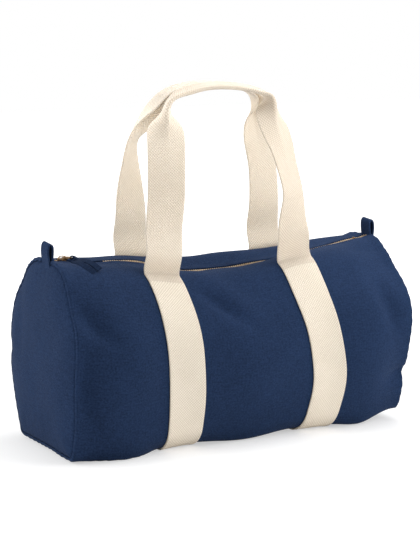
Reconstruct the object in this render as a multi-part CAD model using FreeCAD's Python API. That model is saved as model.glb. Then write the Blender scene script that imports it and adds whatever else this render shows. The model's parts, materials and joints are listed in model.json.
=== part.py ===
"""Barrel bag: a sewn canvas barrel with webbing straps, two carry handles, a zipped mouth and end tabs.

Lengths are in millimetres. The origin is on the floor under the middle of the barrel,
+X runs along the barrel towards the closed end of the zip, -Y is the front and +Z is up.
"""
import FreeCAD, Part
import math
import os

# Barrel, widest at a drop below its top, whose cloth sinks between the straps
BARREL_LENGTH = 469.0
BARREL_WIDTH = 204.0
BARREL_HEIGHT = 230.0
BASE_WIDTH = 152.0
BASE_CORNER_RADIUS = 12.0
WIDEST_DROP = 118.0
TOP_FLAT_WIDTH = 44.0
SHOULDER_RADIUS = 53.0
SINK_BOW = 3.0
# The sunk side's radius as a share of the roundest that meets the mouth's fold, and where the cloth
# starts to sink and lies lowest as shares of the half gap between the straps
SINK_ROUND_SHARE = 0.8
SINK_START_SHARES = (-0.94, 0.94)
SINK_FLOOR_SHARES = (-0.6, 0.4)
CANVAS_THICKNESS = 1.2
BINDING_DEPTH = 8.0
BINDING_THICKNESS = 2.4

# Webbing straps and their bar stitches; drops run down the outline from the edge of the flat top
WEBBING_WIDTH = 48.0
WEBBING_THICKNESS = 2.2
STRAP_SPACING = 192.0
STRAP_FOLD_DROP = 34.0
STITCH_LENGTH = 3.0
STITCH_THICKNESS = 0.7
STITCH_PITCH = 4.6
STITCH_ROW_DROPS = (5.0, 10.0)

# Handles
HANDLE_TOP_HEIGHT = 440.0
GRIP_SPREAD = 46.0
GRIP_SPAN = 148.0
GRIP_RADIUS = 135.0
GRIP_WIDTH = 25.0
GRIP_THICKNESS = 5.0
# Along a leg from its stitching to the grip: rise, move inwards, lean, narrowing, thickening and tilt
LEG_SHARES = (
    (0.00, 0.00, 0.00, 0.00, 0.00, 0.00),
    (0.38, 0.00, 0.00, 0.00, 0.00, 0.00),
    (0.66, 0.12, 0.14, 0.00, 0.00, 0.03),
    (0.80, 0.32, 0.36, 0.05, 0.03, 0.12),
    (0.90, 0.55, 0.62, 0.32, 0.25, 0.36),
    (0.96, 0.78, 0.82, 0.66, 0.60, 0.66),
    (1.00, 1.00, 1.00, 1.00, 1.00, 1.00),
)

# Mouth flaps beside the zip
MOUTH_FOLD_DROP = 21.5
MOUTH_LEFT_MARGIN = 80.0
MOUTH_RIGHT_MARGIN = 46.0
ZIP_SLOT_WIDTH = 10.0

# Zip chain
TAPE_WIDTH = 13.0
TAPE_THICKNESS = 0.6
TOOTH_PITCH = 3.0
TOOTH_THICKNESS = 1.2
TOOTH_LENGTH = 2.6
TOOTH_HEIGHT = 2.4
TOOTH_JAW = 0.9
TOOTH_TIP_GAP = 1.0
STOP_LENGTH = 2.4

# Slider, ring and pull
SLIDER_INSET = 26.0
SLIDER_END_INSET = 33.0
SLIDER_LENGTH = 13.0
SLIDER_PLATE = 1.0
SLIDER_FLANGE = 0.9
DIVIDER_LENGTH = 4.0
DIVIDER_THICKNESS = 0.5
BRIDGE_LENGTH = 10.0
BRIDGE_WIDTH = 2.4
BRIDGE_THICKNESS = 1.0
BRIDGE_ROOM = 2.7
RING_WIRE = 1.2
RING_LENGTH = 11.0
RING_WIDTH = 11.0
PULL_LENGTH = 38.0
PULL_WIDTH = 8.0
PULL_YAW_DEG = 33.0

# End tabs
TAB_WIDTH = 24.0
TAB_HEIGHT = 24.0
TAB_FABRIC = 1.2
TAB_LOOP_GAP = 3.6
TAB_INSET = 2.0
LEFT_TAB_SHIFT = -10.5
RIGHT_TAB_SHIFT = 1.5

# Clearances: pieces sewn flat together, pieces that move past each other, and how far cuts overrun
LAY_GAP = 0.1
MOVE_GAP = 0.3
CUT_OVERRUN = 5.0

BASE_Z = WEBBING_THICKNESS + LAY_GAP
TOP_Z = BASE_Z + BARREL_HEIGHT
WIDEST_HEIGHT = BARREL_HEIGHT - WIDEST_DROP
END_X = BARREL_LENGTH / 2
PANEL_END_X = END_X - CANVAS_THICKNESS
STRAP_X = STRAP_SPACING / 2
MOUTH_LEFT_X = MOUTH_LEFT_MARGIN - END_X
MOUTH_RIGHT_X = END_X - MOUTH_RIGHT_MARGIN
X_AXIS = FreeCAD.Vector(1, 0, 0)
Y_AXIS = FreeCAD.Vector(0, 1, 0)
Z_AXIS = FreeCAD.Vector(0, 0, 1)
ORIGIN = FreeCAD.Vector(0, 0, 0)


def save(name, shape):
    shape.exportStep(f"parts/{name}.step")


def box(low, high):
    size = [b - a for a, b in zip(low, high)]
    return Part.makeBox(*size, FreeCAD.Vector(*low))


def rod_x(radius, x0, x1, y, z):
    return Part.makeCylinder(radius, x1 - x0, FreeCAD.Vector(x0, y, z), X_AXIS)


def rod_y(radius, y0, y1, x, z):
    return Part.makeCylinder(radius, y1 - y0, FreeCAD.Vector(x, y0, z), Y_AXIS)


def to_rear(shape):
    return shape.mirror(ORIGIN, Y_AXIS)


def to_right(shape):
    return shape.mirror(ORIGIN, X_AXIS)


class Section:
    """The barrel's outline across its length: tangent arcs that share their centres at every offset."""

    def __init__(self):
        half = BARREL_WIDTH / 2
        side_in = half - BASE_WIDTH / 2
        low = (side_in**2 + WIDEST_HEIGHT**2) / (2 * side_in)
        self.low = (half - low, WIDEST_HEIGHT, low)
        reach = math.sqrt((low - BASE_CORNER_RADIUS) ** 2 - (WIDEST_HEIGHT - BASE_CORNER_RADIUS) ** 2)
        self.corner = (half - low + reach, BASE_CORNER_RADIUS, BASE_CORNER_RADIUS)
        across = half - TOP_FLAT_WIDTH / 2
        rise = BARREL_HEIGHT - SHOULDER_RADIUS - WIDEST_HEIGHT
        high = (across**2 + rise**2 - SHOULDER_RADIUS**2) / (2 * (across - SHOULDER_RADIUS))
        self.high = (half - high, WIDEST_HEIGHT, high)
        self.shoulder = (TOP_FLAT_WIDTH / 2, BARREL_HEIGHT - SHOULDER_RADIUS, SHOULDER_RADIUS)
        self.to_corner = math.atan2(self.corner[1] - self.low[1], self.corner[0] - self.low[0])
        self.to_shoulder = math.atan2(self.shoulder[1] - self.high[1], self.shoulder[0] - self.high[0])
        self.to_fold = math.pi / 2 - MOUTH_FOLD_DROP / SHOULDER_RADIUS

    def spot(self, circle, angle, offset):
        """A point on an arc, by the angle from +Y towards +Z."""
        y, z, radius = circle
        reach = radius + offset
        return FreeCAD.Vector(0, y + reach * math.cos(angle), BASE_Z + z + reach * math.sin(angle))

    def arc(self, circle, start, end, offset):
        return [self.spot(circle, angle, offset) for angle in (start, (start + end) / 2, end)]

    def upper_side(self, offset):
        """The side from its widest place up to the mouth's fold."""
        return [
            self.arc(self.high, 0, self.to_shoulder, offset),
            self.arc(self.shoulder, self.to_shoulder, self.to_fold, offset),
        ]

    def half_edges(self, offset):
        under = [
            self.arc(self.corner, -math.pi / 2, self.to_corner, offset),
            self.arc(self.low, self.to_corner, 0, offset),
        ]
        return under + self.upper_side(offset) + [self.arc(self.shoulder, self.to_fold, math.pi / 2, offset)]

    def wire(self, offset, x):
        arcs = self.half_edges(offset)
        edges = [Part.Arc(*points).toShape() for points in arcs]
        flip = [[FreeCAD.Vector(p.x, -p.y, p.z) for p in points] for points in arcs]
        edges += [Part.Arc(*points).toShape() for points in flip]
        for end in (arcs[0][0], arcs[-1][-1]):
            edges.append(Part.makeLine(end, FreeCAD.Vector(end.x, -end.y, end.z)))
        wire = Part.Wire(Part.__sortEdges__(edges))
        wire.translate(X_AXIS * x)
        return wire

    def slab(self, offset, x0, x1):
        return Part.Face(self.wire(offset, x0)).extrude(X_AXIS * (x1 - x0))

    def tube(self, outer, inner, x0, x1):
        over = CUT_OVERRUN
        return self.slab(outer, x0, x1).cut(self.slab(inner, x0 - over, x1 + over))

    def side_point(self, drop, offset):
        """How far out, how high and how far from level a side is, at a drop below the edge of the flat top."""
        bend = math.pi / 2 - self.to_shoulder
        lean = drop / SHOULDER_RADIUS
        y, z, radius = self.shoulder
        if lean > bend:
            lean = bend + (drop - bend * SHOULDER_RADIUS) / self.high[2]
            y, z, radius = self.high
        reach = radius + offset
        return y + reach * math.sin(lean), BASE_Z + z + reach * math.cos(lean), lean


class SunkSection(Section):
    """The outline where the cloth hangs from the mouth's fold instead of standing out."""

    def upper_side(self, offset):
        fold = self.spot(self.shoulder, self.to_fold, 0)
        across = BARREL_WIDTH / 2 - fold.y
        rise = fold.z - BASE_Z - WIDEST_HEIGHT
        radius = SINK_ROUND_SHARE * (across**2 + rise**2) / (2 * across)
        side = (BARREL_WIDTH / 2 - radius, WIDEST_HEIGHT, radius)
        from_side = fold.y - side[0]
        to_cloth = math.atan2(rise, from_side) - math.acos(radius / math.hypot(from_side, rise))
        low = self.spot(side, to_cloth, offset)
        high = self.spot(self.shoulder, self.to_fold, offset)
        inward = FreeCAD.Vector(0, -math.cos(to_cloth), -math.sin(to_cloth))
        return [self.arc(side, 0, to_cloth, offset), [low, (low + high) / 2 + inward * SINK_BOW, high]]


SECTION = Section()
SUNK_SECTION = SunkSection()
STRAP_TOP = LAY_GAP + WEBBING_THICKNESS
HANDLE_Y, HANDLE_Z, _ = SECTION.side_point(STRAP_FOLD_DROP, STRAP_TOP + MOVE_GAP + WEBBING_THICKNESS / 2)
FLAP_Y, FLAP_Z, _ = SECTION.side_point(MOUTH_FOLD_DROP, -CANVAS_THICKNESS / 2)
TAB_BASE_RADIUS = TAB_FABRIC
TAB_X = END_X - TAB_INSET
TAB_Z = TOP_Z + TAB_BASE_RADIUS / 2
TAPE_TOP_Z = TOP_Z - CANVAS_THICKNESS
TAPE_LOW_Z = TAPE_TOP_Z - TAPE_THICKNESS
CHAIN_Z = (TAPE_TOP_Z + TAPE_LOW_Z) / 2
TOOTH_TIP = TOOTH_TIP_GAP / 2
TOOTH_BACK = TOOTH_TIP + TOOTH_LENGTH
TAPE_EDGE = TOOTH_BACK - TOOTH_JAW
TAPE_END_X = PANEL_END_X - BINDING_THICKNESS - LAY_GAP
SLIDER_X = SLIDER_INSET - END_X
SLIDER_END_X = END_X - SLIDER_END_INSET
CHAIN_LEFT_X = SLIDER_X - SLIDER_LENGTH / 2
CHAIN_RIGHT_X = SLIDER_END_X + SLIDER_LENGTH / 2
ROOM_TOP_Z = CHAIN_Z + TOOTH_HEIGHT / 2 + MOVE_GAP
ROOM_LOW_Z = CHAIN_Z - TOOTH_HEIGHT / 2 - MOVE_GAP
BRIDGE_Z = ROOM_TOP_Z + SLIDER_PLATE
PULL_Z = TOP_Z + MOVE_GAP + RING_WIRE / 2 + MOVE_GAP + CANVAS_THICKNESS


def tab_groove(side, shift):
    radius = TAB_BASE_RADIUS + MOVE_GAP
    half = TAB_WIDTH / 2 + MOVE_GAP
    return rod_y(radius, shift - half, shift + half, side * TAB_X, TAB_Z)


def tab_grooves():
    return [tab_groove(-1, LEFT_TAB_SHIFT), tab_groove(1, RIGHT_TAB_SHIFT)]


def zip_slot():
    half = ZIP_SLOT_WIDTH / 2
    low = (-BARREL_LENGTH, -half, TOP_Z - CANVAS_THICKNESS - CUT_OVERRUN)
    return box(low, (BARREL_LENGTH, half, TOP_Z + CUT_OVERRUN))


def mouth_hole():
    """The room for both flaps, with round edges at their fold lines."""
    x0 = MOUTH_LEFT_X - MOVE_GAP
    x1 = MOUTH_RIGHT_X + MOVE_GAP
    hole = box((x0, -FLAP_Y, TOP_Z - SHOULDER_RADIUS), (x1, FLAP_Y, TOP_Z + CUT_OVERRUN))
    for y in (-FLAP_Y, FLAP_Y):
        hole = hole.fuse(rod_x(CANVAS_THICKNESS / 2 + MOVE_GAP, x0, x1, y, FLAP_Z))
    return hole


def sunk_barrel(offset, reach):
    """The whole barrel to either side of the middle, with its outline set in or out."""
    half_gap = STRAP_X - WEBBING_WIDTH / 2
    starts = [(share * half_gap, SECTION) for share in SINK_START_SHARES]
    floor = [(share * half_gap, SUNK_SECTION) for share in SINK_FLOOR_SHARES]
    stations = [(-reach, SECTION), starts[0], *floor, starts[1], (reach, SECTION)]
    return Part.makeLoft([section.wire(offset, x) for x, section in stations], True, True)


def main_panel():
    inside = sunk_barrel(-CANVAS_THICKNESS, PANEL_END_X + CUT_OVERRUN)
    cuts = [inside, zip_slot(), mouth_hole()] + tab_grooves()
    return sunk_barrel(0, PANEL_END_X).cut(cuts).removeSplitter()


def left_end_panel():
    return SECTION.slab(0, -END_X, -PANEL_END_X).cut(tab_grooves())


def right_end_panel():
    return SECTION.slab(0, PANEL_END_X, END_X).cut(tab_grooves())


def left_seam_binding():
    outer = -CANVAS_THICKNESS - LAY_GAP
    return SECTION.tube(outer, outer - BINDING_DEPTH, -PANEL_END_X, BINDING_THICKNESS - PANEL_END_X)


def body_strap(x):
    """Webbing from under the front handle's foot, below the barrel, to under the rear handle's foot."""
    half = WEBBING_WIDTH / 2
    ring = SECTION.tube(STRAP_TOP, LAY_GAP, x - half, x + half)
    inside = HANDLE_Y - WEBBING_THICKNESS
    low = (x - half - CUT_OVERRUN, -inside, BASE_Z + WIDEST_HEIGHT)
    return ring.cut(box(low, (x + half + CUT_OVERRUN, inside, TOP_Z + CUT_OVERRUN)))


def bar_stitches():
    """Rows of stitches across both front straps, just below the handle's fold line."""
    count = int((WEBBING_WIDTH - STITCH_LENGTH) / STITCH_PITCH)
    stitches = []
    for drop in STITCH_ROW_DROPS:
        y, z, lean = SECTION.side_point(STRAP_FOLD_DROP + drop, STRAP_TOP)
        for centre in (-STRAP_X, STRAP_X):
            for n in range(count):
                x = centre + (n - (count - 1) / 2) * STITCH_PITCH
                half = STITCH_THICKNESS / 2
                stitch = box((-STITCH_LENGTH / 2, -half, 0), (STITCH_LENGTH / 2, half, STITCH_THICKNESS))
                stitch.rotate(ORIGIN, X_AXIS, math.degrees(lean))
                stitch.translate(FreeCAD.Vector(x, -y, z))
                stitches.append(stitch)
    return Part.makeCompound(stitches)


def leg_wire(rise, inward, lean, narrow, thicken, tilt, end):
    """One outline across a left leg; end is the grip's left end as x, z and its tilt from level."""
    x = -STRAP_X + inward * (end[0] + STRAP_X)
    y = -HANDLE_Y + lean * (HANDLE_Y - GRIP_SPREAD / 2)
    z = HANDLE_Z + rise * (end[1] - HANDLE_Z)
    turn = tilt * end[2]
    width = WEBBING_WIDTH + narrow * (GRIP_THICKNESS - WEBBING_WIDTH)
    depth = WEBBING_THICKNESS + thicken * (GRIP_WIDTH - WEBBING_THICKNESS)
    across = FreeCAD.Vector(math.cos(turn), 0, -math.sin(turn)) * (width / 2)
    deep = Y_AXIS * (depth / 2)
    centre = FreeCAD.Vector(x, y, z)
    corners = [centre - across - deep, centre + across - deep, centre + across + deep, centre - across + deep]
    return Part.makePolygon(corners + corners[:1])


def handle_leg(end):
    half = WEBBING_WIDTH / 2
    leg = Part.makeLoft([leg_wire(*row, end) for row in LEG_SHARES], True, True)
    return leg.fuse(rod_x(WEBBING_THICKNESS / 2, -STRAP_X - half, half - STRAP_X, -HANDLE_Y, HANDLE_Z))


def grip(half_angle, centre_z):
    """The folded top of the handle: a flat band bent to an arc."""
    points = []
    for radius in (GRIP_RADIUS + GRIP_THICKNESS / 2, GRIP_RADIUS - GRIP_THICKNESS / 2):
        for angle in (-half_angle, 0, half_angle):
            points.append(FreeCAD.Vector(radius * math.sin(angle), 0, centre_z + radius * math.cos(angle)))
    edges = [Part.Arc(*points[:3]).toShape(), Part.Arc(*points[3:]).toShape()]
    edges += [Part.makeLine(points[0], points[3]), Part.makeLine(points[2], points[5])]
    band = Part.Face(Part.Wire(Part.__sortEdges__(edges))).extrude(Y_AXIS * GRIP_WIDTH)
    band.translate(Y_AXIS * (-GRIP_SPREAD / 2 - GRIP_WIDTH / 2))
    return band


def front_handle():
    half_angle = math.asin(GRIP_SPAN / 2 / GRIP_RADIUS)
    centre_z = HANDLE_TOP_HEIGHT - GRIP_THICKNESS / 2 - GRIP_RADIUS
    end = (-GRIP_SPAN / 2, centre_z + GRIP_RADIUS * math.cos(half_angle), math.pi / 2 - half_angle)
    leg = handle_leg(end)
    return grip(half_angle, centre_z).fuse([leg, to_right(leg)]).removeSplitter()


def front_mouth_flap():
    """The canvas strip between the fold line and the zip."""
    tube = SECTION.tube(0, -CANVAS_THICKNESS, MOUTH_LEFT_X, MOUTH_RIGHT_X)
    low = (MOUTH_LEFT_X - CUT_OVERRUN, -FLAP_Y, TOP_Z - SHOULDER_RADIUS)
    high = (MOUTH_RIGHT_X + CUT_OVERRUN, -ZIP_SLOT_WIDTH / 2, TOP_Z + CUT_OVERRUN)
    strip = tube.common(box(low, high))
    return strip.fuse(rod_x(CANVAS_THICKNESS / 2, MOUTH_LEFT_X, MOUTH_RIGHT_X, -FLAP_Y, FLAP_Z))


def front_tape(x0, x1):
    return box((x0, -TAPE_EDGE - TAPE_WIDTH, TAPE_LOW_Z), (x1, -TAPE_EDGE, TAPE_TOP_Z))


def chain_block(x0, x1):
    """A front tooth or stop: a head in line with the tape and two jaws that grip the tape's edge."""
    half = TOOTH_HEIGHT / 2
    block = box((x0, -TOOTH_BACK, CHAIN_Z - half), (x1, -TOOTH_TIP, CHAIN_Z + half))
    slot = box((x0, -TOOTH_BACK, TAPE_LOW_Z), (x1, -TAPE_EDGE, TAPE_TOP_Z))
    return block.cut(slot)


def front_teeth(x0, x1, phase):
    """The teeth that lie wholly between x0 and x1; phase is the row's start as a share of the pitch."""
    teeth = []
    first = CHAIN_LEFT_X + phase * TOOTH_PITCH
    for n in range(int((CHAIN_RIGHT_X - CHAIN_LEFT_X) / TOOTH_PITCH)):
        start = first + n * TOOTH_PITCH
        if start >= x0 + MOVE_GAP and start + TOOTH_THICKNESS <= x1 - MOVE_GAP:
            teeth.append(chain_block(start, start + TOOTH_THICKNESS))
    return teeth


def both_rows(x0, x1):
    rear = [to_rear(tooth) for tooth in front_teeth(x0, x1, REAR_PHASE_SHARE)]
    return Part.makeCompound(front_teeth(x0, x1, FRONT_PHASE_SHARE) + rear)


FRONT_PHASE_SHARE = 0.0
REAR_PHASE_SHARE = 0.5


def pair(shape):
    return Part.makeCompound([shape, to_rear(shape)])


def zip_top_stops():
    x1 = CHAIN_LEFT_X - MOVE_GAP
    return pair(chain_block(x1 - STOP_LENGTH, x1))


def zip_bottom_stop():
    x0 = CHAIN_RIGHT_X + MOVE_GAP
    side = chain_block(x0, x0 + STOP_LENGTH)
    half = TOOTH_HEIGHT / 2
    middle = box((x0, -TOOTH_TIP, CHAIN_Z - half), (x0 + STOP_LENGTH, TOOTH_TIP, CHAIN_Z + half))
    return middle.fuse([side, to_rear(side)]).removeSplitter()


def zip_slider():
    """Two plates held together by the divider, with flanges that leave slots for the tapes."""
    x0 = SLIDER_X - SLIDER_LENGTH / 2
    x1 = SLIDER_X + SLIDER_LENGTH / 2
    inner = TOOTH_BACK + MOVE_GAP
    outer = inner + SLIDER_FLANGE
    top = box((x0, -outer, ROOM_TOP_Z), (x1, outer, BRIDGE_Z))
    pieces = [box((x0, -outer, ROOM_LOW_Z - SLIDER_PLATE), (x1, outer, ROOM_LOW_Z))]
    half = DIVIDER_THICKNESS / 2
    pieces.append(box((x0, -half, ROOM_LOW_Z), (x0 + DIVIDER_LENGTH, half, ROOM_TOP_Z)))
    for low, high in ((ROOM_LOW_Z, TAPE_LOW_Z - MOVE_GAP), (TAPE_TOP_Z + MOVE_GAP, ROOM_TOP_Z)):
        flange = box((x0, -outer, low), (x1, -inner, high))
        pieces += [flange, to_rear(flange)]
    return top.fuse(pieces).removeSplitter()


def slider_bridge():
    """The arch over the slider that the ring hangs from."""
    half = BRIDGE_LENGTH / 2
    wide = BRIDGE_WIDTH / 2
    top = BRIDGE_Z + BRIDGE_ROOM + BRIDGE_THICKNESS
    arch = box((SLIDER_X - half, -wide, BRIDGE_Z), (SLIDER_X + half, wide, top))
    inner = half - BRIDGE_THICKNESS
    low = (SLIDER_X - inner, -wide - CUT_OVERRUN, BRIDGE_Z)
    return arch.cut(box(low, (SLIDER_X + inner, wide + CUT_OVERRUN, top - BRIDGE_THICKNESS)))


def yawed(shape):
    """Turns a shape made along +X from the ring's pivot into the pull's resting direction."""
    shape.rotate(ORIGIN, Z_AXIS, -PULL_YAW_DEG)
    shape.translate(FreeCAD.Vector(SLIDER_X, 0, PULL_Z))
    return shape


def zip_pull_ring():
    radius = RING_WIRE / 2
    half = RING_WIDTH / 2
    length = RING_LENGTH
    wire = Part.makePolygon(
        [FreeCAD.Vector(x, y, 0) for x, y in ((0, -half), (length, -half), (length, half), (0, half), (0, -half))]
    )
    bars = [Part.makeCylinder(radius, e.Length, e.Vertexes[0].Point, e.tangentAt(0)) for e in wire.Edges]
    balls = [Part.makeSphere(radius, v.Point) for v in wire.Vertexes]
    return yawed(bars[0].fuse(bars[1:] + balls).removeSplitter())


def zip_pull_strip():
    """A folded strip of canvas sewn flat, with an eye round the ring's far bar."""
    bore = RING_WIRE / 2 + MOVE_GAP
    half = PULL_WIDTH / 2
    eye = Part.makeCylinder(bore + CANVAS_THICKNESS, PULL_WIDTH, FreeCAD.Vector(0, -half, 0), Y_AXIS)
    strip = eye.fuse(box((0, -half, -CANVAS_THICKNESS), (PULL_LENGTH, half, CANVAS_THICKNESS)))
    over = half + CUT_OVERRUN
    strip = strip.cut(Part.makeCylinder(bore, 2 * over, FreeCAD.Vector(0, -over, 0), Y_AXIS))
    strip.translate(X_AXIS * RING_LENGTH)
    return yawed(strip)


def drop_face(low_radius, low_z, high_radius, high_z):
    """An upright outline of two circles, one above the other, joined by their outer tangents."""
    lean = math.asin((high_radius - low_radius) / (high_z - low_z))
    points = []
    for radius, z in ((low_radius, low_z), (high_radius, high_z)):
        points.append(FreeCAD.Vector(radius * math.cos(lean), 0, z - radius * math.sin(lean)))
    right = points + [FreeCAD.Vector(0, 0, high_z + high_radius)]
    left = [FreeCAD.Vector(-p.x, 0, p.z) for p in points]
    edges = [
        Part.makeLine(right[0], right[1]),
        Part.Arc(right[1], right[2], left[1]).toShape(),
        Part.makeLine(left[1], left[0]),
        Part.Arc(left[0], FreeCAD.Vector(0, 0, low_z - low_radius), right[0]).toShape(),
    ]
    return Part.Face(Part.Wire(Part.__sortEdges__(edges)))


def tab(side, shift):
    """A strip of canvas folded over into a loop, with its two ends together in the end seam."""
    outer = TAB_LOOP_GAP / 2 + TAB_FABRIC
    crown = TAB_HEIGHT - outer
    neck = TAB_LOOP_GAP / 2 + TAB_FABRIC + TAB_FABRIC
    loop = drop_face(TAB_BASE_RADIUS, 0, outer, crown)
    hole = drop_face(TAB_FABRIC / 4, neck, TAB_LOOP_GAP / 2, crown)
    strip = loop.cut(hole).extrude(Y_AXIS * TAB_WIDTH)
    strip.translate(FreeCAD.Vector(side * TAB_X, shift - TAB_WIDTH / 2, TAB_Z))
    return strip


def save_shell():
    binding = left_seam_binding()
    stitches = bar_stitches()
    save("main_panel", main_panel())
    save("left_end_panel", left_end_panel())
    save("right_end_panel", right_end_panel())
    save("left_seam_binding", binding)
    save("right_seam_binding", to_right(binding))
    save("left_body_strap", body_strap(-STRAP_X))
    save("right_body_strap", body_strap(STRAP_X))
    save("front_bar_stitches", stitches)
    save("rear_bar_stitches", to_rear(stitches))


def save_handles():
    handle = front_handle()
    save("front_handle", handle)
    save("rear_handle", to_rear(handle))
    save("left_tab", tab(-1, LEFT_TAB_SHIFT))
    save("right_tab", tab(1, RIGHT_TAB_SHIFT))


def save_mouth():
    flap = front_mouth_flap()
    tape = front_tape(MOUTH_LEFT_X, MOUTH_RIGHT_X)
    front = front_teeth(MOUTH_LEFT_X, MOUTH_RIGHT_X, FRONT_PHASE_SHARE)
    rear = front_teeth(MOUTH_LEFT_X, MOUTH_RIGHT_X, REAR_PHASE_SHARE)
    save("front_mouth_flap", flap)
    save("rear_mouth_flap", to_rear(flap))
    save("front_zip_tape", tape)
    save("rear_zip_tape", to_rear(tape))
    save("front_zip_teeth", Part.makeCompound(front))
    save("rear_zip_teeth", to_rear(Part.makeCompound(rear)))


def save_zip_ends():
    save("zip_head_tapes", pair(front_tape(-TAPE_END_X, MOUTH_LEFT_X - MOVE_GAP)))
    save("zip_tail_tapes", pair(front_tape(MOUTH_RIGHT_X + MOVE_GAP, TAPE_END_X)))
    save("zip_head_teeth", both_rows(CHAIN_LEFT_X - MOVE_GAP, MOUTH_LEFT_X))
    save("zip_tail_teeth", both_rows(MOUTH_RIGHT_X, CHAIN_RIGHT_X + MOVE_GAP))
    save("zip_top_stops", zip_top_stops())
    save("zip_bottom_stop", zip_bottom_stop())


def save_slider():
    save("zip_slider", zip_slider())
    save("slider_bridge", slider_bridge())
    save("zip_pull_ring", zip_pull_ring())
    save("zip_pull_strip", zip_pull_strip())


os.makedirs("parts", exist_ok=True)
save_shell()
save_handles()
save_mouth()
save_zip_ends()
save_slider()
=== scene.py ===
"""Canvas barrel bag: sagging navy canvas, natural webbing handles, a brass zip and two end tabs.

Lengths are in metres. The bag stands on the floor, X runs along the barrel, -Y is the front and Z is up.
"""
import json
import math

import bmesh
import bpy
import numpy as np
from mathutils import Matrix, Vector


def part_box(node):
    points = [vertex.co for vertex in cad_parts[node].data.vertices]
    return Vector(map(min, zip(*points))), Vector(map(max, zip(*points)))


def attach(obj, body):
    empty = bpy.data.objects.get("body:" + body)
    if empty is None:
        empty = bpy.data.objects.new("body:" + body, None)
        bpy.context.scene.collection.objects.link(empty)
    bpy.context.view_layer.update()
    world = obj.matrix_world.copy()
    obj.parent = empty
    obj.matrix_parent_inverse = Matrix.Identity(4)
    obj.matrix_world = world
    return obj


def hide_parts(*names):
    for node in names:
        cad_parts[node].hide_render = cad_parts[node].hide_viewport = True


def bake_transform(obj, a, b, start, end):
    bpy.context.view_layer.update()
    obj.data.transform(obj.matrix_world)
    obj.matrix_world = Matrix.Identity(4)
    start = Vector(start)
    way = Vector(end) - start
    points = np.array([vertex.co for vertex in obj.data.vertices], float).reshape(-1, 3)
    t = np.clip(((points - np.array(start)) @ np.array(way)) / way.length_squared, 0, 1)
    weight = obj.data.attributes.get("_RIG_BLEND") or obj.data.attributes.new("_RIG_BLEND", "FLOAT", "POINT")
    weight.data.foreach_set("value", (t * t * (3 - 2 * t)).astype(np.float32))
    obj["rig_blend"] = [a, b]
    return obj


bl_info = {
    "name": "Canvas barrel bag",
    "version": (1, 0, 0),
    "blender": (4, 5, 0),
    "location": "View3D > Sidebar > Barrel bag",
    "description": "Builds a canvas barrel bag round its packed frame",
    "category": "Object",
}

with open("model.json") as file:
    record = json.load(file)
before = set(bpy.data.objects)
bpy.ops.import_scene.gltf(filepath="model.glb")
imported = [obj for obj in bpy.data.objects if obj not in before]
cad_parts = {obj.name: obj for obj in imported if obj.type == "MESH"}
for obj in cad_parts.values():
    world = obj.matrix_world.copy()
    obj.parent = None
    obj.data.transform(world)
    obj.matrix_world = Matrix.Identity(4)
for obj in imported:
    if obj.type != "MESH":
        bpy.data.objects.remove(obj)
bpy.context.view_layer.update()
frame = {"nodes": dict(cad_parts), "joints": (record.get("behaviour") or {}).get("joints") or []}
JOINTS = {joint["name"]: joint for joint in frame["joints"]}

# The barrel's places, from the frame
PANEL_LOW, PANEL_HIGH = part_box("main_panel")
HALF_LENGTH = PANEL_HIGH.x
HALF_WIDTH = PANEL_HIGH.y
BASE_Z = PANEL_LOW.z
HEIGHT = PANEL_HIGH.z - PANEL_LOW.z
MOUTH_LEFT, MOUTH_RIGHT = (corner.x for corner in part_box("front_mouth_flap"))
ZIP_ENDS = {
    "head": [corner.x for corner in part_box("zip_head_tapes")],
    "tail": [corner.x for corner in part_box("zip_tail_tapes")],
}
STRAP_HALF = (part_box("left_body_strap")[1].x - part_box("left_body_strap")[0].x) / 2
STRAP_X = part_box("right_body_strap")[1].x - STRAP_HALF
SIDES = {"front": -1, "rear": 1}
ENDS = {"left": -1, "right": 1}

# The barrel's section, as arcs that run into each other
HALF_BASE = 0.076
WIDEST = 0.112
HALF_FLAT = 0.027
SHOULDER = 0.053
STRAP_FOLD_DROP = 0.028
STRAP_FOOT = 0.012
ZIP_HALF_SLOT = 0.005
LAY_GAP = 0.0002
ARC_POINTS = 90
SECTION_POINTS = 900

# How finely cloth is divided: its usual step, and steps that grow from an edge
CLOTH_STEP = 0.0030
GRADED_STEPS = (0, 0.0003, 0.0007, 0.0012, 0.0018, 0.0026, 0.0036, 0.0050, 0.0068, 0.0090, 0.0115)

# Stitches: length and thickness of those in the webbing, how far the topstitches lie from the canvas's edge,
# and the seed of their small turns
EDGE_STITCH = (0.0030, 0.0006)
TOPSTITCH = 0.0040
WOBBLE_SEED = 7

# How the cloth bends beside the mouth, and how the bend fades out towards the mouth's ends
FOLD_REACH = 0.0115
FOLD_RISE = 0.0030
MOUTH_FADE = 0.060

# How far the top sinks along the bag: x and the depth in front of the zip, at the zip and behind it
TOP_SAG = (
    (-0.2345, 0.0000, 0.0000, -0.0008),
    (-0.2000, 0.0030, 0.0028, -0.0010),
    (-0.1720, 0.0070, 0.0070, 0.0014),
    (-0.1450, 0.0095, 0.0060, 0.0040),
    (-0.1200, 0.0115, 0.0065, 0.0035),
    (-0.0990, 0.0135, 0.0095, 0.0035),
    (-0.0700, 0.0185, 0.0200, 0.0070),
    (-0.0440, 0.0215, 0.0275, 0.0110),
    (-0.0050, 0.0220, 0.0270, 0.0120),
    (0.0280, 0.0190, 0.0265, 0.0100),
    (0.0660, 0.0100, 0.0215, 0.0078),
    (0.0930, 0.0045, 0.0185, 0.0080),
    (0.1430, 0.0045, 0.0120, 0.0055),
    (0.1820, 0.0040, 0.0065, 0.0035),
    (0.2050, 0.0020, 0.0015, 0.0015),
    (0.2345, 0.0000, 0.0000, 0.0000),
)

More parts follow.
